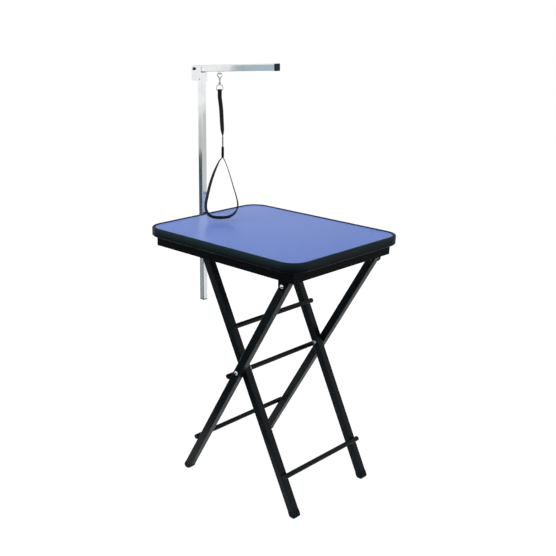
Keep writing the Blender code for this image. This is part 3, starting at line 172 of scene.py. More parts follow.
class Sheet(Wiring):
    """A material's node tree, with its Principled shader and the patterns that feed it."""

    def __init__(self, name: str) -> None:
        """Starts a material.

        Args:
            name: The material's name.
        """
        self.material = bpy.data.materials.new(name)
        self.material.use_nodes = True
        super().__init__(self.material.node_tree)
        self.shader = self.tree.nodes["Principled BSDF"]

    def set(self, **values: object) -> None:
        """Feeds the shader's inputs, named with underscores for spaces, with values or sockets."""
        for key, value in values.items():
            self.feed(self.shader.inputs[key.replace("_", " ")], value)

    def show(self, shader: object) -> None:
        """Shows another shader, given by its node or socket, in place of the Principled one."""
        self.feed(self.tree.nodes["Material Output"].inputs["Surface"], shader)

    def place(self, scale: Sequence[float] = (1, 1, 1), uv: bool = False) -> Socket:
        """A pattern's coordinates, stretched along each axis: Object ones, or the piece's own map."""
        start = self.add("ShaderNodeTexCoord").outputs["UV" if uv else "Object"]
        return self.add("ShaderNodeMapping", Vector=start, Scale=scale).outputs["Vector"]

    def noise(self, where: Socket, grain: Grain) -> Socket:
        """A noise pattern.

        Args:
            where: Coordinates.
            grain: The pattern's numbers.

        Returns:
            The pattern's value, about 0.5 on average.
        """
        node = self.add("ShaderNodeTexNoise", Vector=where, Scale=grain.cells, Detail=grain.octaves,
                        Roughness=grain.rough)
        return node.outputs["Fac"]

    def spread(self, value: Socket, span: Span) -> Socket:
        """Maps a pattern's value to a range.

        Args:
            value: The pattern.
            span: The range.

        Returns:
            The mapped value.
        """
        node = self.add("ShaderNodeMapRange", Value=value, From_Min=span.start, From_Max=span.end,
                        To_Min=span.low, To_Max=span.high)
        return node.outputs["Result"]

    def blend(self, share: Socket, first: object, second: object) -> Socket:
        """Mixes two colours.

        Args:
            share: How much of the second colour shows.
            first: A colour or a socket.
            second: A colour or a socket.

        Returns:
            The mixed colour.
        """
        node = self.tree.nodes.new("ShaderNodeMix")
        node.data_type = "RGBA"
        self.feed(node.inputs["Factor"], share)
        for socket, value in ((node.inputs[6], first), (node.inputs[7], second)):
            self.feed(socket, value if isinstance(value, Socket) else (*value, 1))
        return node.outputs[2]

    def bump(self, pattern: Socket, relief: Relief, under: Socket | None = None) -> Socket:
        """Raises the surface by a pattern.

        Args:
            pattern: The pattern.
            relief: How high and how strongly.
            under: Another bump's normal to add to.

        Returns:
            The normal's socket.
        """
        node = self.add("ShaderNodeBump", Height=pattern, Distance=relief.height, Strength=relief.strength)
        if under is not None:
            self.feed(node.inputs["Normal"], under)
        return node.outputs["Normal"]


@dataclass(frozen=True)
class Finish:
    """A finish with a material of its own and the record's slot that it belongs to."""

    name: str
    slot: str

    def material(self) -> bpy.types.Material:
        """The finish's material, made on its first use.

        Returns:
            The material.
        """
        if self.name not in MATERIALS:
            sheet = Sheet(self.name)
            self.dress(sheet)
            MATERIALS[self.name] = sheet.material
        return MATERIALS[self.name]

    def dress(self, sheet: Sheet) -> None:
        """Builds the finish in a material's node tree."""
        raise NotImplementedError


@dataclass(frozen=True)
class Laminate(Finish):
    """The top's textured blue sheet: a fine mottled print over a pebbled surface."""

    light: Colour = (0.150, 0.250, 0.680)
    dark: Colour = (0.106, 0.186, 0.530)
    print_grain: Grain = Grain(520.0, 2.0, 0.6)
    print_share: Span = Span(0.0, 1.0, 0.40, 0.60)
    print_relief: Relief = Relief(0.00010, 0.3)
    cloud_grain: Grain = Grain(26.0)
    cloud_share: Span = Span(0.0, 0.22)
    pebbles: float = 364.0
    pebble_relief: Relief = Relief(0.00012, 0.35)
    rough: Span = Span(0.25, 0.35)
    gloss: float = 0.50

    def dress(self, sheet: Sheet) -> None:
        """Builds the mottled print, its cloudy drift and the pebbles.

        Args:
            sheet: The material's node tree.
        """
        where = sheet.place()
        fine = sheet.noise(where, self.print_grain)
        printed = sheet.blend(sheet.spread(fine, self.print_share), self.dark, self.light)
        drift = sheet.spread(sheet.noise(where, self.cloud_grain), self.cloud_share)
        pebbles = sheet.add("ShaderNodeTexVoronoi", Vector=where, Scale=self.pebbles).outputs["Distance"]
        relief = sheet.bump(pebbles, self.pebble_relief, sheet.bump(fine, self.print_relief))
        sheet.set(Base_Color=sheet.blend(drift, printed, self.dark), Roughness=sheet.spread(fine, self.rough),
                  Normal=relief, Specular_IOR_Level=self.gloss)


@dataclass(frozen=True)
class MouldedRubber(Finish):
    """Rubber or soft plastic with a fine skin, pale scuffs and a dull sheen."""

    colour: Colour = (0.0036, 0.0100, 0.0135)
    scuff: Colour = (0.010, 0.018, 0.022)
    scuff_grain: Grain = Grain(38.0, 6.0, 0.62)
    scuff_share: Span = Span(0.0, 0.30, 0.52, 0.72)
    wear_grain: Grain = Grain(22.0, 4.0)
    rough: Span = Span(0.30, 0.48)
    skin: float = 900.0
    skin_relief: Relief = Relief(0.00006, 0.35)
    gloss: float = 0.05

    def dress(self, sheet: Sheet) -> None:
        """Builds the skin, the scuffs and the roughness.

        Args:
            sheet: The material's node tree.
        """
        where = sheet.place()
        skin = sheet.noise(where, Grain(self.skin, 2.0))
        wear = sheet.spread(sheet.noise(where, self.wear_grain), self.rough)
        sheet.set(Base_Color=self.tint(sheet, where), Roughness=wear,
                  Normal=sheet.bump(skin, self.skin_relief), Specular_IOR_Level=self.gloss)

    def tint(self, sheet: Sheet, where: Socket) -> Socket:
        """The moulded colour with its pale scuffs."""
        scuffs = sheet.spread(sheet.noise(where, self.scuff_grain), self.scuff_share)
        return sheet.blend(scuffs, self.colour, self.scuff)


@dataclass(frozen=True)
class EdgeRubber(MouldedRubber):
    """The rubber edge round the top, with painted shade: lighter at its crest and painted dark towards its
    foot.
    """

    # Painted shade: the crest keeps these lighter colours, and the foot colour paints the edge dark at its
    # bottom.
    colour: Colour = (0.0080, 0.0190, 0.0235)
    scuff: Colour = (0.018, 0.030, 0.034)
    foot: Colour = (0.0002, 0.0012, 0.0018)
    shaded_foot_height: float = 0.786
    lit_crest_height: float = 0.807

    def tint(self, sheet: Sheet, where: Socket) -> Socket:
        """The scuffed colour, faded with the height into the foot's dark colour, which is painted shade.

        Args:
            sheet: The material's node tree.
            where: The coordinates' socket.

        Returns:
            The colour's socket.
        """
        # Painted shade: the colour darkens from the crest down to the foot.
        up = sheet.add("ShaderNodeSeparateXYZ", Vector=where).outputs["Z"]
        height = sheet.spread(up, Span(0.0, 1.0, self.shaded_foot_height, self.lit_crest_height))
        return sheet.blend(height, self.foot, super().tint(sheet, where))


@dataclass(frozen=True)
class Enamel(Finish):
    """Baked black enamel on steel: a thin gloss over a slightly wavy skin, with dust in it."""

    colour: Colour = (0.0022, 0.0048, 0.0064)
    dust: Colour = (0.006, 0.010, 0.012)
    dust_grain: Grain = Grain(55.0, 7.0, 0.65)
    dust_share: Span = Span(0.0, 0.30, 0.50, 0.78)
    wear_grain: Grain = Grain(16.0, 4.0)
    peel_grain: Grain = Grain(420.0, 2.0)
    peel_relief: Relief = Relief(0.00005, 0.25)
    rough: Span = Span(0.21, 0.36)
    gloss: float = 0.11

    def dress(self, sheet: Sheet) -> None:
        """Builds the skin, the dust and the gloss.

        Args:
            sheet: The material's node tree.
        """
        where = sheet.place()
        dust = sheet.spread(sheet.noise(where, self.dust_grain), self.dust_share)
        wear = sheet.spread(sheet.noise(where, self.wear_grain), self.rough)
        peel = sheet.bump(sheet.noise(where, self.peel_grain), self.peel_relief)
        sheet.set(Base_Color=sheet.blend(dust, self.colour, self.dust), Roughness=wear, Normal=peel,
                  Specular_IOR_Level=self.gloss)


@dataclass(frozen=True)
class Plating(Finish):
    """Polished plating over drawn steel: fine lines along the tube and dull patches."""

    colour: Colour = (0.85, 0.86, 0.87)
    shade: Colour = (0.62, 0.65, 0.67)
    patch_grain: Grain = Grain(34.0, 5.0, 0.6)
    patch_share: Span = Span(0.0, 0.25, 0.42, 0.75)
    lines: tuple[float, float, float] = (900.0, 900.0, 30.0)
    line_grain: Grain = Grain(1.0, 2.0)
    line_relief: Relief = Relief(0.00002, 0.20)
    rough: Span = Span(0.055, 0.125)

    def dress(self, sheet: Sheet) -> None:
        """Builds the drawing lines, the patches and the polish.

        Args:
            sheet: The material's node tree.
        """
        drawn = sheet.noise(sheet.place(self.lines), self.line_grain)
        patch = sheet.noise(sheet.place(), self.patch_grain)
        dull = sheet.spread(patch, self.patch_share)
        sheet.set(Base_Color=sheet.blend(dull, self.colour, self.shade), Metallic=1.0,
                  Roughness=sheet.spread(patch, self.rough), Normal=sheet.bump(drawn, self.line_relief))


@dataclass(frozen=True)
class Webbing(Finish):
    """Woven polypropylene webbing: ribs across the strap and rows of warp threads along it, with a painted
    highlight on the weave's crests.
    """

    thread: Colour = (0.0040, 0.0042, 0.0050)
    # Painted highlight: the paler colour on the weave's crests.
    glint: Colour = (0.020, 0.021, 0.024)
    glint_share: Span = Span(0.0, 0.8, 0.5, 1.0)
    rib: float = 0.0011
    warp: float = 0.0008
    wave: Span = Span(0.0, 1.0, -1.0, 1.0)
    weave_relief: Relief = Relief(0.00022, 0.9)
    fuzz_grain: Grain = Grain(2500.0, 2.0)
    fuzz_relief: Relief = Relief(0.00005, 0.4)
    rough: Span = Span(0.62, 0.85)
    sheen: float = 0.06
    sheen_rough: float = 0.5
    gloss: float = 0.25

    def dress(self, sheet: Sheet) -> None:
        """Builds the weave from the strap's own map, which is in metres.

        Args:
            sheet: The material's node tree.
        """
        parts = sheet.add("ShaderNodeSeparateXYZ", Vector=sheet.place(uv=True)).outputs
        waves = [sheet.math("SINE", sheet.math("MULTIPLY", parts[axis], 2 * math.pi / length))
                 for axis, length in (("X", self.warp), ("Y", self.rib))]
        height = sheet.spread(sheet.math("MULTIPLY", *waves), self.wave)
        fuzz = sheet.noise(sheet.place(), self.fuzz_grain)
        # Painted highlight: the crests of the weave are coloured paler.
        crests = sheet.spread(height, self.glint_share)
        relief = sheet.bump(height, self.weave_relief, sheet.bump(fuzz, self.fuzz_relief))
        sheet.set(Base_Color=sheet.blend(crests, self.thread, self.glint), Normal=relief,
                  Roughness=sheet.spread(fuzz, self.rough), Sheen_Weight=self.sheen,
                  Sheen_Roughness=self.sheen_rough, Specular_IOR_Level=self.gloss)


@dataclass(frozen=True)
class ChipBoard(Finish):
    """Pressed wood chips, seen from below between the rails."""

    pale: Colour = (0.50, 0.37, 0.23)
    brown: Colour = (0.24, 0.15, 0.08)
    shade_grain: Grain = Grain(60.0, 6.0, 0.6)
    shade_share: Span = Span(0.0, 1.0)
    chips: float = 140.0
    chip_stretch: tuple[float, float, float] = (1.0, 2.2, 1.0)
    chip_relief: Relief = Relief(0.0002, 0.5)
    gap_share: Span = Span(0.0, 0.5, 0.2, 0.9)
    rough: float = 0.72

    def dress(self, sheet: Sheet) -> None:
        """Builds the chips and their gaps.

        Args:
            sheet: The material's node tree.
        """
        where = sheet.place(self.chip_stretch)
        chips = sheet.add("ShaderNodeTexVoronoi", Vector=where, Scale=self.chips).outputs["Distance"]
        shade = sheet.spread(sheet.noise(where, self.shade_grain), self.shade_share)
        gaps = sheet.spread(chips, self.gap_share)
        sheet.set(Base_Color=sheet.blend(gaps, sheet.blend(shade, self.brown, self.pale), self.brown),
                  Normal=sheet.bump(chips, self.chip_relief), Roughness=self.rough)


BLUE = Laminate("printed_blue_sheet", "blue_laminate")
BOARD = ChipBoard("pressed_chips", "board")
EDGE = EdgeRubber("moulded_edge", "edge_rubber")
RAIL = Enamel("rail_enamel", "black_steel", colour=(0.0016, 0.0026, 0.0034), dust=(0.004, 0.006, 0.007),
              rough=Span(0.31, 0.46), gloss=0.03)
TUBE = Enamel("tube_enamel", "black_enamel")
FOOT = MouldedRubber("moulded_foot", "foot_rubber", rough=Span(0.49, 0.67), skin=500.0)
PLASTIC = MouldedRubber("moulded_plastic", "black_plastic", colour=(0.0060, 0.0066, 0.0072),
                        rough=Span(0.34, 0.52), skin=1400.0, gloss=0.20)
CHROME = Plating("post_chrome", "chrome")
ARM_CHROME = Plating("arm_chrome", "chrome", lines=(30.0, 900.0, 900.0))
# Painted shade: a darker copy of the chrome for the far hinge pin, the twin of the bright near pin, standing
# for the shade it sits in.
SHADED_PIN_CHROME = Plating("shaded_pin_chrome", "chrome", colour=(0.22, 0.23, 0.24), shade=(0.12, 0.13, 0.14),
                      rough=Span(0.27, 0.34))
ZINC = Plating("hook_zinc", "hook_metal", colour=(0.50, 0.50, 0.51), shade=(0.30, 0.30, 0.31),
               lines=(700.0, 700.0, 700.0), rough=Span(0.23, 0.30))
WEBBING = Webbing("black_webbing", "webbing")
THREAD = MouldedRubber("stitch_thread", "webbing", colour=(0.014, 0.014, 0.015), rough=Span(0.54, 0.72),
                       skin=3000.0)
SLEEVE = MouldedRubber("slider_sleeve", "black_plastic", colour=(0.0060, 0.0060, 0.0066),
                       rough=Span(0.39, 0.57), skin=1800.0)


def linked(name: str, data: bpy.types.ID) -> bpy.types.Object:
    """Puts an object into the scene.

    Args:
        name: The object's name.
        data: Its mesh, light or camera.

    Returns:
        The object.
    """
    made = bpy.data.objects.new(name, data)
    bpy.context.collection.objects.link(made)
    return made


def placed(name: str, bm: bmesh.types.BMesh) -> bpy.types.Object:
    """Puts a mesh into the scene as an object.

    Args:
        name: The object's name.
        bm: The mesh, which is freed.

    Returns:
        The object.
    """
    mesh = bpy.data.meshes.new(name)
    bm.to_mesh(mesh)
    bm.free()
    return linked(name, mesh)


def to_object(bm: bmesh.types.BMesh, name: str, finish: Finish, body: Body,
              smooth: float = 40.0) -> bpy.types.Object:
    """Turns a mesh into a finished piece that rides on a body.

    Args:
        bm: The mesh, in the row frame.
        name: The piece's name.
        finish: Its finish.
        body: The body that it moves with.
        smooth: The angle past which an edge stays sharp, in degrees.

    Returns:
        The piece.
    """
    piece = placed(name, bm)
    piece.data.shade_smooth()
    piece.data.set_sharp_from_angle(angle=math.radians(smooth))
    piece.data.materials.append(finish.material())
    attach(piece, body.value)
    return piece


@dataclass
class NodeCopy:
    """A CAD node's shape, merged, with its edges softened, as a piece of its own."""

    node: str
    body: Body
    finish: Finish
    bevel: float
    segments: int = 2
    bevel_angle: float = 35.0
    flat_angle: float = 0.6
    merge: float = 2e-6
    flat_weight: int = 80

    def build(self) -> bpy.types.Object:
        """Copies the node's mesh, softens it and puts it in the node's place.

        Returns:
            The piece.
        """
        bm = bmesh.new()
        bm.from_mesh(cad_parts[self.node].data)
        bmesh.ops.remove_doubles(bm, verts=bm.verts, dist=self.merge)
        bmesh.ops.dissolve_limit(bm, angle_limit=math.radians(self.flat_angle), verts=bm.verts,
                                 edges=bm.edges)
        piece = placed(f"{self.node}_dressed", bm)
        piece.data.shade_smooth()
        if self.bevel > 0:
            soften = piece.modifiers.new("soft_edges", "BEVEL")
            soften.width = self.bevel
            soften.segments = self.segments
            soften.limit_method = "ANGLE"
            soften.angle_limit = math.radians(self.bevel_angle)
            soften.harden_normals = False
        even = piece.modifiers.new("even_normals", "WEIGHTED_NORMAL")
        even.keep_sharp = False
        even.weight = self.flat_weight
        self.bake(piece)
        piece.data.materials.clear()
        piece.data.materials.append(self.finish.material())
        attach(piece, self.body.value)
        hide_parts(self.node)
        return piece

    def bake(self, piece: bpy.types.Object) -> None:
        """Turns a piece's modifiers into its mesh.

        Args:
            piece: The object, still with its modifiers.
        """
        graph = bpy.context.evaluated_depsgraph_get()
        mesh = bpy.data.meshes.new_from_object(piece.evaluated_get(graph))
        piece.modifiers.clear()
        piece.data = mesh


@dataclass(frozen=True)
class Group:
    """Nodes of one body that share a finish and the width to which their edges are softened."""

    body: Body
    finish: Finish
    bevel: float
    nodes: tuple[str, ...]


@dataclass
class Assembly:
    """A part of the table: groups of dressed nodes, and the pieces that are added to them."""

    groups: tuple[Group, ...] = ()

    def build(self) -> list[bpy.types.Object]:
        """Makes the assembly's pieces.

        Returns:
            The pieces.
        """
        made = [NodeCopy(node, group.body, group.finish, group.bevel).build()
                for group in self.groups for node in group.nodes]
        return made + self.extras()

    def extras(self) -> list[bpy.types.Object]:
        """The added pieces, which are none unless an assembly says so."""
        return []


class Stamp(Wiring):
    """A Geometry Nodes tree that repeats a small shape, turned into a plain mesh."""

    SHARP_ANGLE = 50.0

    def __init__(self, name: str, sizes: dict[str, float | int]) -> None:
        """Starts the tree with its named sizes.

        Args:
            name: The tree's name.
            sizes: Input names and values.
        """
        super().__init__(bpy.data.node_groups.new(name, "GeometryNodeTree"))
        self.tree.interface.new_socket("Geometry", in_out="OUTPUT", socket_type="NodeSocketGeometry")
        self.sizes = sizes
        self.sockets: dict[str, str] = {}
        for key, value in sizes.items():
            kind = "NodeSocketInt" if isinstance(value, int) else "NodeSocketFloat"
            socket = self.tree.interface.new_socket(key, in_out="INPUT", socket_type=kind)
            self.sockets[key] = socket.identifier
        self.source = self.tree.nodes.new("NodeGroupInput")
        self.result = self.tree.nodes.new("NodeGroupOutput")

    def size(self, key: str) -> Socket:
        """The socket of a named size."""
        return self.source.outputs[key]

    def vector(self, x: object = 0.0, y: object = 0.0, z: object = 0.0) -> Socket:
        """The socket of a vector that joins three numbers or sockets."""
        return self.add("ShaderNodeCombineXYZ", X=x, Y=y, Z=z).outputs[0]

    def finish(self, geometry: bpy.types.Node, name: str, look: Finish, body: Body,
               places: Iterable[Matrix]) -> bpy.types.Object:
        """Realizes the tree, copies its mesh to each place and makes the piece.

        Args:
            geometry: The tree's last node.
            name: The piece's name.
            look: Its finish.
            body: The body that it moves with.
            places: Where the pattern is repeated, in the row frame.

        Returns:
            The piece.
        """
        real = self.add("GeometryNodeRealizeInstances", Geometry=geometry)
        self.feed(self.result.inputs[0],
                  self.add("GeometryNodeSetMaterial", Geometry=real, Material=look.material()))
        holder = linked(f"{name}_pattern", bpy.data.meshes.new(f"{name}_pattern"))
        change = holder.modifiers.new(name, "NODES")
        change.node_group = self.tree
        for key, value in self.sizes.items():
            change[self.sockets[key]] = value
        graph = bpy.context.evaluated_depsgraph_get()
        pattern = bpy.data.meshes.new_from_object(holder.evaluated_get(graph))
        bpy.data.objects.remove(holder)
        bm = bmesh.new()
        for place in places:
            copy = pattern.copy()
            copy.transform(place)
            bm.from_mesh(copy)
            bpy.data.meshes.remove(copy)
        bpy.data.meshes.remove(pattern)
        return to_object(bm, name, look, body, self.SHARP_ANGLE)


@dataclass
class Route:
    """The leash's route, the same as its solids', in the hook's upright plane."""

    turn: float = math.radians(45.0)
    strap_width: float = 0.0125
    strap_thickness: float = 0.0018
    strand_half_spacing: float = 0.0012
    strap_drop: float = 0.135
    doubled_drop: float = 0.031
    slider_length: float = 0.031
    ring_wire: float = 0.0012
    gap: float = 0.0003
    noose_lean: float = 0.060
    noose_low_twist: float = math.radians(60)
    clearance: float = 0.005
    table_height: float = 0.808
    hook_top: Vector = field(default_factory=lambda: Vector((-0.214114, 0.013, 1.239727)))
    wire_down: float = 0.0484
    eye_steps: int = 14
    strap_steps: int = 60
    noose_steps: int = 150
    strap_route: tuple = (
        (0.0010, 0.20, 89), (0.0030, 0.31, 88), (0.0047, 0.44, 86), (0.0058, 0.58, 83),
        (0.0068, 0.72, 77), (0.0079, 0.84, 64), (0.0087, 0.93, 32), (0.0092, 1.00, 0))
    noose_route: tuple = (
        (-0.0002, 0.055, 0.017, -8), (-0.0100, 0.16, 0.083, -22), (-0.0205, 0.30, 0.18, -34),
        (-0.0300, 0.46, 0.32, -40), (-0.0375, 0.63, 0.50, -42), (-0.0428, 0.78, 0.68, -44),
        (-0.0415, 0.88, 0.80, -48), (-0.0330, 0.957, 0.90, -54), (-0.0190, 0.993, 0.967, -60),
        (0.0030, 1.000, 1.00, -60), (0.0270, 0.993, 0.95, -54), (0.0440, 0.955, 0.77, -42),
        (0.0545, 0.885, 0.57, -28), (0.0575, 0.80, 0.45, -18), (0.0520, 0.66, 0.33, -8),
        (0.0430, 0.50, 0.23, -5), (0.0340, 0.34, 0.13, -3), (0.0245, 0.18, 0.05, 0),
        (0.0163, 0.065, 0.00, 0))
    strap_eye: tuple = ((0.0190, -0.00105), (0.0120, -0.00105), (0.0060, -0.00170), (0.0020, -0.00235))

    @property
    def side(self) -> Vector:
        """The way across the hook's plane."""
        return Vector((math.cos(self.turn), math.sin(self.turn), 0))

    @property
    def normal(self) -> Vector:
        """The way out of the hook's plane."""
        return Vector((math.sin(self.turn), -math.cos(self.turn), 0))

    def point(self, side: float, down: float, forward: float = 0.0) -> Vector:
        """The row frame's point this far across, below the hook's top and out of the hook's plane."""
        return self.hook_top + self.side * side - Vector((0, 0, down)) + self.normal * forward

    def smooth(self, rows: Sequence[Sequence[float]], samples: int) -> list[tuple[float, ...]]:
        """Reads a smooth curve through rows of numbers.

        Args:
            rows: The rows that the curve passes through.
            samples: How many steps the curve is read in.

        Returns:
            The rows on the curve.
        """
        count = len(rows) - 1
        made = []
        for index in range(samples + 1):
            place = index / samples * count
            start = min(int(place), count - 1)
            t = place - start
            before, first = rows[max(start - 1, 0)], rows[start]
            second, after = rows[start + 1], rows[min(start + 2, count)]
            made.append(tuple(
                0.5 * (2 * b + (c - a) * t + (2 * a - 5 * b + 4 * c - d) * t ** 2
                       + (3 * b - a - 3 * c + d) * t ** 3)
                for a, b, c, d in zip(before, first, second, after)))
        return made

    @property
    def joint(self) -> float:
        """How far below the hook's top the strap is sewn to the noose."""
        return self.wire_down + self.strap_drop

    @property
    def slider_bottom(self) -> float:
        """How far below the hook's top the slider ends."""
        return self.joint + self.doubled_drop + self.slider_length

    def strap_rows(self) -> list[tuple[Vector, Vector]]:
        """The strap from the ring's wire down to the joint.

        Returns:
            Its points, each with the way that its width runs.
        """
        rows = [(self.point(0, self.wire_down + down, -forward), self.side)
                for down, forward in reversed(self.strap_eye)]
        route = [(side, self.wire_down + share * self.strap_drop, math.radians(twist))
                 for side, share, twist in self.strap_route]
        rows += [(self.point(side, down), self.normal * math.cos(twist) + self.side * math.sin(twist))
                 for side, down, twist in self.smooth(route, self.strap_steps)]
        return rows

    def eye_rows(self) -> list[tuple[Vector, Vector]]:
        """The strap's folded end over the ring, from its tail to the front.

        Returns:
            Its points, each with the way that its width runs.
        """
        bend = self.ring_wire + self.gap + self.strap_thickness / 2
        rows = [(self.point(0, self.wire_down + down, forward), self.side)
                for down, forward in self.strap_eye]
        for step in range(self.eye_steps + 1):
            angle = math.pi * step / self.eye_steps
            rows.append((self.point(0, self.wire_down - bend * math.sin(angle), -bend * math.cos(angle)),
                         self.side))
        return rows

    def noose_rows(self) -> list[tuple[Vector, Vector]]:
        """The noose from the joint, through the slider and round, and back to the joint.

        Returns:
            Its points, each with the way that its width runs.
        """
        centre = self.strap_route[-1][0]
        left, right = centre - self.strand_half_spacing, centre + self.strand_half_spacing
        tilt = self.strap_width / 2 * math.sin(self.noose_low_twist)
        lowest = self.hook_top.z - self.table_height - self.clearance - self.strap_thickness / 2 - tilt
        drop = lowest - self.slider_bottom
        start, leave = self.joint + self.gap, self.slider_bottom + self.strap_thickness / 2
        straight = [start + (leave - start) * share for share in (0, 0.2, 0.4, 0.6, 0.8, 1.0)]
        route = [(left, leave, 0, 0)]
        route += [(side, self.slider_bottom + share * drop, lean * self.noose_lean, math.radians(twist))
                  for side, share, lean, twist in self.noose_route]
        route += [(right, leave, 0, 0)]
        rows = [(left, down, 0, 0) for down in straight[:-1]]
        rows += self.smooth(route, self.noose_steps)
        rows += [(right, down, 0, 0) for down in reversed(straight[:-1])]
        points = [self.point(side, down, lean) for side, down, lean, _ in rows]
        made = []
        for index, point in enumerate(points):
            along = (points[min(index + 1, len(points) - 1)] - points[max(index - 1, 0)]).normalized()
            wide = (self.normal - along * self.normal.dot(along)).normalized()
            made.append((point, Matrix.Rotation(rows[index][3], 3, along) @ wide))
        return made


def ribbon(rows: Sequence[tuple[Vector, Vector]], width: float, thickness: float) -> bmesh.types.BMesh:
    """Flat webbing with rounded edges and a map in metres.

    Args:
        rows: Points and the way the width runs at each.
        width: The webbing's width.
        thickness: Its thickness.

    Returns:
        The mesh.
    """
    bm = bmesh.new()
    layer = bm.loops.layers.uv.new("weave")
    half, deep = width / 2, thickness / 2
    edge_steps = 4
    merge = 1e-7
    section = []
    for sign in (1, -1):
        section += [(share * (half - deep) * sign, deep * sign) for share in (1.0, 0.5, 0.0, -0.5)]
        for step in range(edge_steps + 1):
            angle = math.pi / 2 + math.pi * step / edge_steps
            section.append((-sign * (half - deep) + sign * deep * math.cos(angle),
                            sign * deep * math.sin(angle)))
    loops, places = [], []
    travelled = 0.0
    for index, (point, wide) in enumerate(rows):
        after, before = rows[min(index + 1, len(rows) - 1)][0], rows[max(index - 1, 0)][0]
        along = (after - before).normalized()
        across = (wide - along * wide.dot(along)).normalized()
        thick = along.cross(across)
        travelled += (point - before).length
        loops.append([bm.verts.new(point + across * a + thick * b) for a, b in section])
        places.append(travelled)
    around = [0.0]
    for first, second in zip(section, section[1:] + section[:1]):
        around.append(around[-1] + math.dist(first, second))
    count = len(section)
    for row, (below, above) in enumerate(zip(loops, loops[1:])):
        for k in range(count):
            face = bm.faces.new((below[k], below[(k + 1) % count], above[(k + 1) % count], above[k]))
            spots = ((around[k], places[row]), (around[k + 1], places[row]),
                     (around[k + 1], places[row + 1]), (around[k], places[row + 1]))
            for loop, spot in zip(face.loops, spots):
                loop[layer].uv = spot
    for loop in (list(reversed(loops[0])), loops[-1]):
        bm.faces.new(loop)
    bmesh.ops.remove_doubles(bm, verts=bm.verts, dist=merge)
    bmesh.ops.recalc_face_normals(bm, faces=bm.faces)
    return bm


@dataclass
class TableTop(Assembly):
    """The board, the mat, the rubber edge, the rails and the fittings under the top."""

    groups: tuple[Group, ...] = (
        Group(Body.TABLE_TOP, BOARD, 0.0, ("top_board",)),
        Group(Body.TABLE_TOP, BLUE, 0.0004, ("top_mat",)),
        Group(Body.TABLE_TOP, EDGE, 0.0005, ("edge_trim",)),
        Group(Body.TABLE_TOP, RAIL, 0.0006, ("near_rail", "far_rail", "left_rail", "right_rail")),
        Group(Body.TABLE_TOP, RAIL, 0.0004, ("hinge_plate_near", "hinge_plate_far")),
        Group(Body.TABLE_TOP, CHROME, 0.0003, ("hinge_pin_near",)),
        # Painted shade: the far pin takes the darkened copy of the chrome.
        Group(Body.TABLE_TOP, SHADED_PIN_CHROME, 0.0003, ("hinge_pin_far",)),
        Group(Body.TABLE_TOP, PLASTIC, 0.0003, ("hinge_washer_near", "hinge_washer_far")),
        Group(Body.TABLE_TOP, PLASTIC, 0.0006, ("leg_seat_near", "leg_seat_far")),
        Group(Body.TABLE_TOP, RAIL, 0.0004, ("post_socket",)),
        Group(Body.TABLE_TOP, RAIL, 0.0003, ("socket_bolt_near", "socket_bolt_far")))
    screw_count: int = 4
    screw_pitch: float = 0.15
    screw_radius: float = 0.0042
    screw_height: float = 0.0022
    screw_segments: int = 20
    screw_rings: int = 12
    slot_width: float = 0.0009
    slot_reach: float = 1.15
    slot_drop: float = -0.95
    flange_inset: float = 0.011
    board_gap: float = 0.0028

    def extras(self) -> list[bpy.types.Object]:
        """Pan head screws through the rails' flanges into the board, with a cross in each head.

        Returns:
            A list of one piece that holds all the screws.
        """
        stamp = Stamp("rail_screws", {"Count": self.screw_count, "Pitch": self.screw_pitch,
                                      "Head Radius": self.screw_radius, "Head Height": self.screw_height,
                                      "Slot Width": self.slot_width})
        radius, height, slot = (stamp.size(key) for key in ("Head Radius", "Head Height", "Slot Width"))
        dome = stamp.add("GeometryNodeMeshUVSphere", Segments=self.screw_segments, Rings=self.screw_rings,
                         Radius=radius)
        flat = stamp.vector(1.0, 1.0, stamp.math("DIVIDE", height, radius))
        head = stamp.add("GeometryNodeTransform", Geometry=dome, Scale=flat)
        cut = stamp.tree.nodes.new("GeometryNodeMeshBoolean")
        cut.operation = "DIFFERENCE"
        stamp.feed(cut.inputs["Mesh 1"], head)
        reach = stamp.math("MULTIPLY", radius, self.slot_reach)
        drop = stamp.vector(z=stamp.math("MULTIPLY", height, self.slot_drop))
        for sizes in ((reach, slot), (slot, reach)):
            cube = stamp.add("GeometryNodeMeshCube", Size=stamp.vector(*sizes, height))
            bar = stamp.add("GeometryNodeTransform", Geometry=cube, Translation=drop)
            stamp.feed(cut.inputs["Mesh 2"], bar)
        line = stamp.add("GeometryNodeMeshLine", Count=stamp.size("Count"),
                         Offset=stamp.vector(x=stamp.size("Pitch")))
        rows = stamp.add("GeometryNodeInstanceOnPoints", Points=line, Instance=cut)
        low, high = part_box("near_rail")
        left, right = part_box("left_rail")[0][0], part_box("right_rail")[1][0]
        side = -low[1] - self.flange_inset
        start = left + (right - left - (self.screw_count - 1) * self.screw_pitch) / 2
        places = [Matrix.Translation((start, y, high[2] - self.board_gap)) for y in (-side, side)]
        return [stamp.finish(rows, "rail_screws", CHROME, Body.TABLE_TOP, places)]


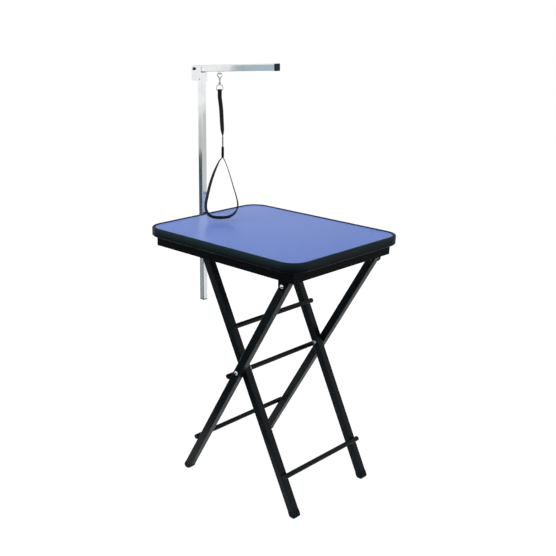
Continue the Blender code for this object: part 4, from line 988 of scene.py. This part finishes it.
@dataclass
class LegFrames(Assembly):
    """Both leg frames: tubes, bars, feet, plugs, bolts and the welds at the bars."""

    groups: tuple[Group, ...] = (
        Group(Body.OUTER_FRAME, TUBE, 0.0003, ("outer_leg_near", "outer_leg_far", "outer_lower_bar",
                                               "outer_middle_bar")),
        Group(Body.INNER_FRAME, TUBE, 0.0003, ("inner_leg_near", "inner_leg_far", "inner_upper_bar",
                                               "inner_lower_bar")),
        Group(Body.OUTER_FRAME, FOOT, 0.0012, ("outer_foot_near", "outer_foot_far")),
        Group(Body.INNER_FRAME, FOOT, 0.0012, ("inner_foot_near", "inner_foot_far")),
        Group(Body.OUTER_FRAME, PLASTIC, 0.0004, ("outer_leg_plug_near", "outer_leg_plug_far")),
        Group(Body.INNER_FRAME, PLASTIC, 0.0004, ("inner_leg_plug_near", "inner_leg_plug_far",
                                                  "pivot_washer_near", "pivot_washer_far")),
        Group(Body.OUTER_FRAME, CHROME, 0.0004, ("pivot_bolt_near", "pivot_bolt_far")),
        Group(Body.INNER_FRAME, CHROME, 0.0004, ("pivot_nut_near", "pivot_nut_far")))
    leg_size: float = 0.025
    bar_radius: float = 0.008
    bar_gap: float = 0.0001
    bead: float = 0.0011
    bead_count: int = 9
    bead_flatness: float = 0.72
    bead_stretch: float = 1.5
    bead_detail: int = 2
    bead_spread: tuple[float, float] = (0.82, 1.08)
    bead_seed: int = 7
    weld_share: float = 0.80
    weld_offset: float = 0.0031
    weld_lift: float = 0.0004

    def extras(self) -> list[bpy.types.Object]:
        """The welds of both frames."""
        return [self.welds(group.body, group.nodes) for group in self.groups if group.finish is TUBE]

    def welds(self, body: Body, nodes: Sequence[str]) -> bpy.types.Object:
        """Rippled weld beads where each bar lies on its legs.

        Args:
            body: The frame.
            nodes: Its legs and its bars.

        Returns:
            The beads, as one piece.
        """
        stamp = Stamp(f"{body.value}_weld_beads", {
            "Beads": self.bead_count, "Bead Radius": self.bead, "Length": self.leg_size * self.weld_share,
            "Flatness": self.bead_flatness, "Seed": self.bead_seed})
        step = stamp.math("DIVIDE", stamp.size("Length"), stamp.math("SUBTRACT", stamp.size("Beads"), 1))
        line = stamp.add("GeometryNodeMeshLine", Count=stamp.size("Beads"), Offset=stamp.vector(y=step))
        ball = stamp.add("GeometryNodeMeshIcoSphere", Radius=stamp.size("Bead Radius"),
                         Subdivisions=self.bead_detail)
        flat = stamp.add("GeometryNodeTransform", Geometry=ball,
                         Scale=stamp.vector(1.0, self.bead_stretch, stamp.size("Flatness")))
        vary = stamp.tree.nodes.new("FunctionNodeRandomValue")
        vary.data_type = "FLOAT"
        smallest, largest = self.bead_spread
        feeds = {("Min", "VALUE"): smallest, ("Max", "VALUE"): largest, ("Seed", "INT"): stamp.size("Seed")}
        for socket in vary.inputs:
            if (socket.name, socket.type) in feeds:
                stamp.feed(socket, feeds[socket.name, socket.type])
        scale = next(socket for socket in vary.outputs if socket.type == "VALUE" and socket.enabled)
        row = stamp.add("GeometryNodeInstanceOnPoints", Points=line, Instance=flat, Scale=scale)
        across = Vector((0, 1, 0))
        places = []
        for bar in (node for node in nodes if node.endswith("_bar")):
            low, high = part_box(bar)
            centre = Vector(((low[0] + high[0]) / 2, 0, (low[2] + high[2]) / 2))
            for leg in (node for node in nodes if "_leg_" in node):
                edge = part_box(leg)[0][1] + self.leg_size * (1 - self.weld_share) / 2
                along, out = self.direction(leg)
                foot = centre - out * (self.bar_radius + self.bar_gap)
                turn = Matrix((along, across, along.cross(across))).transposed().to_4x4()
                for side in (-1, 1):
                    spot = foot + along * (side * self.weld_offset) + out * self.weld_lift
                    places.append(Matrix.Translation((spot.x, edge, spot.z)) @ turn)
        return stamp.finish(row, f"{body.value}_welds", TUBE, body, places)

    def direction(self, leg: str) -> tuple[Vector, Vector]:
        """A leg's upward direction and the way out of the face that its bars lie on.

        Args:
            leg: The leg's node.

        Returns:
            The two directions.
        """
        low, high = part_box(leg)
        lean = math.atan2(high[0] - low[0] - self.leg_size, high[2] - low[2] - self.leg_size / 2)
        sign = -1 if leg.startswith("inner") else 1
        along = Vector((sign * math.sin(lean), 0, math.cos(lean)))
        out = Vector((-sign * math.cos(lean), 0, math.sin(lean)))
        return along, out


@dataclass
class PostAndArm(Assembly):
    """The post, its clamp, the folded bracket, and the arm with its cap and staple."""

    groups: tuple[Group, ...] = (
        Group(Body.CLAMP, CHROME, 0.0002, ("clamp_screw",)),
        Group(Body.CLAMP, PLASTIC, 0.0008, ("clamp_knob",)),
        Group(Body.POST, CHROME, 0.0002, ("post_tube",)),
        Group(Body.POST, PLASTIC, 0.0008, ("post_plug",)),
        Group(Body.POST, CHROME, 0.0003, ("arm_bracket",)),
        Group(Body.POST, CHROME, 0.0002, ("bracket_rivet", "arm_pivot_bolt")),
        Group(Body.ARM_KNOB, PLASTIC, 0.0006, ("arm_knob",)),
        Group(Body.ARM, ARM_CHROME, 0.0002, ("arm_tube",)),
        Group(Body.ARM, PLASTIC, 0.0008, ("arm_end_cap",)),
        Group(Body.ARM, CHROME, 0.0, ("hook_staple",)))


@dataclass
class Leash(Assembly):
    """The snap hook, its gate, the swivel ring, the strap, the noose and the slider."""

    groups: tuple[Group, ...] = (
        Group(Body.HOOK, ZINC, 0.0, ("snap_hook", "gate_pin")),
        Group(Body.GATE, ZINC, 0.0, ("hook_gate",)),
        Group(Body.LEASH, ZINC, 0.0, ("swivel_ring",)))
    route: Route = field(default_factory=Route)
    stitch_rows: int = 4
    stitches_a_row: int = 4
    row_pitch: float = 0.0032
    stitch_pitch: float = 0.0030
    stitch_length: float = 0.0022
    stitch_radius: float = 0.00028
    stitch_segments: int = 8
    stitch_rings: int = 6
    stitch_drop: float = 0.0140
    layer_offset: float = 0.00105
    sleeve_bevel: float = 0.0007
    sleeve_segments: int = 3

    def extras(self) -> list[bpy.types.Object]:
        """The webbing, its stitches and the slider.

        Returns:
            The pieces.
        """
        route = self.route
        width, thick = route.strap_width, route.strap_thickness
        strap_rows, noose_rows = route.strap_rows(), route.noose_rows()
        strap = to_object(ribbon(strap_rows, width, thick), "strap_webbing", WEBBING, Body.LEASH)
        eye = to_object(ribbon(route.eye_rows(), width, thick), "strap_eye_webbing", WEBBING, Body.LEASH)
        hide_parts("leash_strap")
        noose = to_object(ribbon(noose_rows, width, thick), "noose_webbing", WEBBING, Body.LEASH)
        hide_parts("noose_loop")
        stitches = self.stitches()
        slider = NodeCopy("noose_slider", Body.SLIDER, SLEEVE, self.sleeve_bevel,
                          self.sleeve_segments).build()
        return [strap, eye, noose, stitches, slider]

    def length(self, rows: Sequence[tuple[Vector, Vector]]) -> float:
        """The length of a route."""
        return sum((after[0] - before[0]).length for before, after in zip(rows, rows[1:]))

    def stitches(self) -> bpy.types.Object:
        """Rows of stitches that hold the strap's folded end under the ring.

        Returns:
            The stitches, as one piece.
        """
        stamp = Stamp("strap_stitches", {
            "Rows": self.stitch_rows, "Per Row": self.stitches_a_row, "Row Pitch": self.row_pitch,
            "Pitch": self.stitch_pitch, "Thread Radius": self.stitch_radius,
            "Stitch Length": self.stitch_length})
        rows, per_row = stamp.size("Rows"), stamp.size("Per Row")
        width = stamp.math("MULTIPLY", stamp.size("Pitch"), stamp.math("SUBTRACT", per_row, 1))
        height = stamp.math("MULTIPLY", stamp.size("Row Pitch"), stamp.math("SUBTRACT", rows, 1))
        grid = stamp.add("GeometryNodeMeshGrid", Vertices_X=per_row, Vertices_Y=rows, Size_X=width,
                         Size_Y=height)
        radius = stamp.size("Thread Radius")
        ball = stamp.add("GeometryNodeMeshUVSphere", Segments=self.stitch_segments, Rings=self.stitch_rings,
                         Radius=radius)
        stretch = stamp.math("DIVIDE", stamp.size("Stitch Length"), stamp.math("MULTIPLY", radius, 2.0))
        thread = stamp.add("GeometryNodeTransform", Geometry=ball, Scale=stamp.vector(stretch, 1.0, 1.0))
        sewn = stamp.add("GeometryNodeInstanceOnPoints", Points=grid, Instance=thread)
        route = self.route
        offset = self.layer_offset + route.strap_thickness / 2
        turn = Matrix((route.side, UP, route.side.cross(UP))).transposed().to_4x4()
        places = [Matrix.Translation(route.point(0, route.wire_down + self.stitch_drop, way * offset)) @ turn
                  for way in (-1, 1)]
        return stamp.finish(sewn, "strap_stitches", THREAD, Body.LEASH, places)


@dataclass(frozen=True)
class Lamp:
    """A square softbox that lights the table without a glare of its own."""

    name: str
    place: Place
    target: Place
    size: float
    power: float

    def build(self) -> None:
        """Makes the lamp."""
        data = bpy.data.lights.new(self.name, "AREA")
        data.size = self.size
        data.energy = self.power
        lamp = linked(self.name, data)
        lamp.location = self.place
        lamp.rotation_euler = (Vector(self.target) - Vector(self.place)).to_track_quat("-Z", "Y").to_euler()
        lamp.visible_glossy = False


@dataclass(frozen=True)
class Card:
    """A plain card that only polished metal and gloss see, as in a photographer's studio."""

    name: str
    place: Place
    target: Place
    size: tuple[float, float]
    colour: Colour

    def build(self) -> None:
        """Makes the card."""
        bm = bmesh.new()
        bmesh.ops.create_grid(bm, x_segments=1, y_segments=1, size=0.5)
        facing = (Vector(self.target) - Vector(self.place)).to_track_quat("Z", "Y").to_matrix().to_4x4()
        bm.transform(Matrix.Translation(self.place) @ facing @ Matrix.Diagonal((*self.size, 1.0, 1.0)))
        card = placed(self.name, bm)
        sheet = Sheet(self.name)
        sheet.show(sheet.add("ShaderNodeEmission", Color=(*self.colour, 1)))
        card.data.materials.append(sheet.material)
        card.visible_camera = False
        card.visible_diffuse = False
        card.visible_shadow = False


LAMPS = (
    Lamp("key_softbox", (-2.0, -2.4, 3.0), (-0.1, 0.0, 0.75), size=2.2, power=92.0),
    Lamp("side_softbox", (3.0, 0.6, 1.9), (0.0, 0.0, 0.6), size=1.8, power=12.0),
    Lamp("back_softbox", (-2.0, 1.7, 2.0), (-0.2, 0.1, 0.8), size=1.6, power=18.0),
    Lamp("left_softbox", (-0.95, 1.00, 1.30), (-0.1, 0.1, 0.8), size=0.5, power=3.4))
CARDS = (
    Card("low_dark_card", (-2.5, -2.0, 0.22), (-0.29, 0.01, 0.95), (1.3, 0.66), (0.055, 0.095, 0.100)),
    Card("grey_card", (-2.225, -2.103, 1.10), (-0.15, 0.01, 1.25), (0.075, 0.50), (0.27, 0.33, 0.33)),
    Card("teal_card", (-2.077, -2.227, 1.10), (-0.15, 0.01, 1.25), (0.33, 0.50), (0.42, 0.54, 0.60)),
    Card("back_flag", (-2.0, 2.3, 2.40), (0.0, 0.0, 0.85), (4.2, 1.9), (0.02, 0.02, 0.03)),
    Card("floor_flag", (0.60, -1.9, 0.003), (0.60, -1.9, 4.0), (3.5, 2.9), (0.035, 0.050, 0.055)),
    Card("floor_grey", (-1.80, -1.4, 0.003), (-1.80, -1.4, 4.0), (1.28, 1.3), (0.30, 0.34, 0.35)))


@dataclass
class Studio:
    """A pale floor, a white surround, soft lamps, cards and the photograph's camera."""

    camera_place: Place = (1.63745, -1.7661, 1.3954)
    pitch: float = -24.245
    yaw: float = 46.097
    lens: float = 52.124
    sensor: float = 36.0
    shift: tuple[float, float] = (0.1036, 0.1808)
    surround: float = 0.62
    floor_size: float = 16.0
    floor_drop: float = 0.0005
    floor_colour: Colour = (0.93, 0.93, 0.93)
    floor_rough: float = 0.9
    floor_gloss: float = 0.1
    floor_glow: float = 1.08
    floor_glow_share: float = 0.86

    def build(self) -> None:
        """Makes the floor, the surround, the lamps, the cards and the camera."""
        self.floor()
        self.world()
        for light in LAMPS + CARDS:
            light.build()
        self.camera()

    def floor(self) -> None:
        """A pale floor that keeps a soft shadow and glows for the camera."""
        bm = bmesh.new()
        bmesh.ops.create_grid(bm, x_segments=1, y_segments=1, size=self.floor_size / 2)
        floor = placed("floor", bm)
        floor.location.z = -self.floor_drop
        sheet = Sheet("pale_floor")
        sheet.set(Base_Color=(*self.floor_colour, 1), Roughness=self.floor_rough,
                  Specular_IOR_Level=self.floor_gloss)
        rays = sheet.add("ShaderNodeLightPath").outputs
        seen = sheet.math("MULTIPLY", rays["Is Camera Ray"], self.floor_glow_share)
        glow = sheet.add("ShaderNodeEmission", Strength=self.floor_glow)
        sheet.show(sheet.mixed(seen, sheet.shader, glow))
        floor.data.materials.append(sheet.material)

    def world(self) -> None:
        """White for the camera, for gloss and for glass, and a softer light for everything else."""
        world = bpy.data.worlds.new("studio")
        bpy.context.scene.world = world
        world.use_nodes = True
        wires = Wiring(world.node_tree)
        light = wires.tree.nodes["Background"]
        wires.feed(light.inputs["Color"], WHITE)
        wires.feed(light.inputs["Strength"], self.surround)
        white = wires.add("ShaderNodeBackground", Color=WHITE, Strength=1.0)
        rays = wires.add("ShaderNodeLightPath").outputs
        direct = wires.math("MAXIMUM", rays["Is Camera Ray"], rays["Is Glossy Ray"])
        direct = wires.math("MAXIMUM", direct, rays["Is Transmission Ray"])
        shown = wires.mixed(direct, light, white)
        wires.feed(wires.tree.nodes["World Output"].inputs["Surface"], shown)

    def camera(self) -> None:
        """The photograph's camera."""
        data = bpy.data.cameras.new("photo_camera")
        data.sensor_width = self.sensor
        data.lens = self.lens
        data.shift_x, data.shift_y = self.shift
        camera = linked("photo_camera", data)
        camera.location = self.camera_place
        camera.rotation_euler = (math.radians(90 + self.pitch), 0, math.radians(self.yaw))
        bpy.context.scene.camera = camera


def main() -> None:
    """Builds the studio and every sub-assembly, and reports the pieces."""
    logging.basicConfig(level=logging.INFO, format="%(name)s: %(message)s")
    bpy.context.scene.view_settings.view_transform = "Standard"
    Studio().build()
    for assembly in (TableTop(), LegFrames(), PostAndArm(), Leash()):
        for piece in assembly.build():
            LOG.info("%s: %s, %d faces", type(assembly).__name__, piece.name, len(piece.data.polygons))
    bpy.context.view_layer.update()


if __name__ == "__main__":
    main()
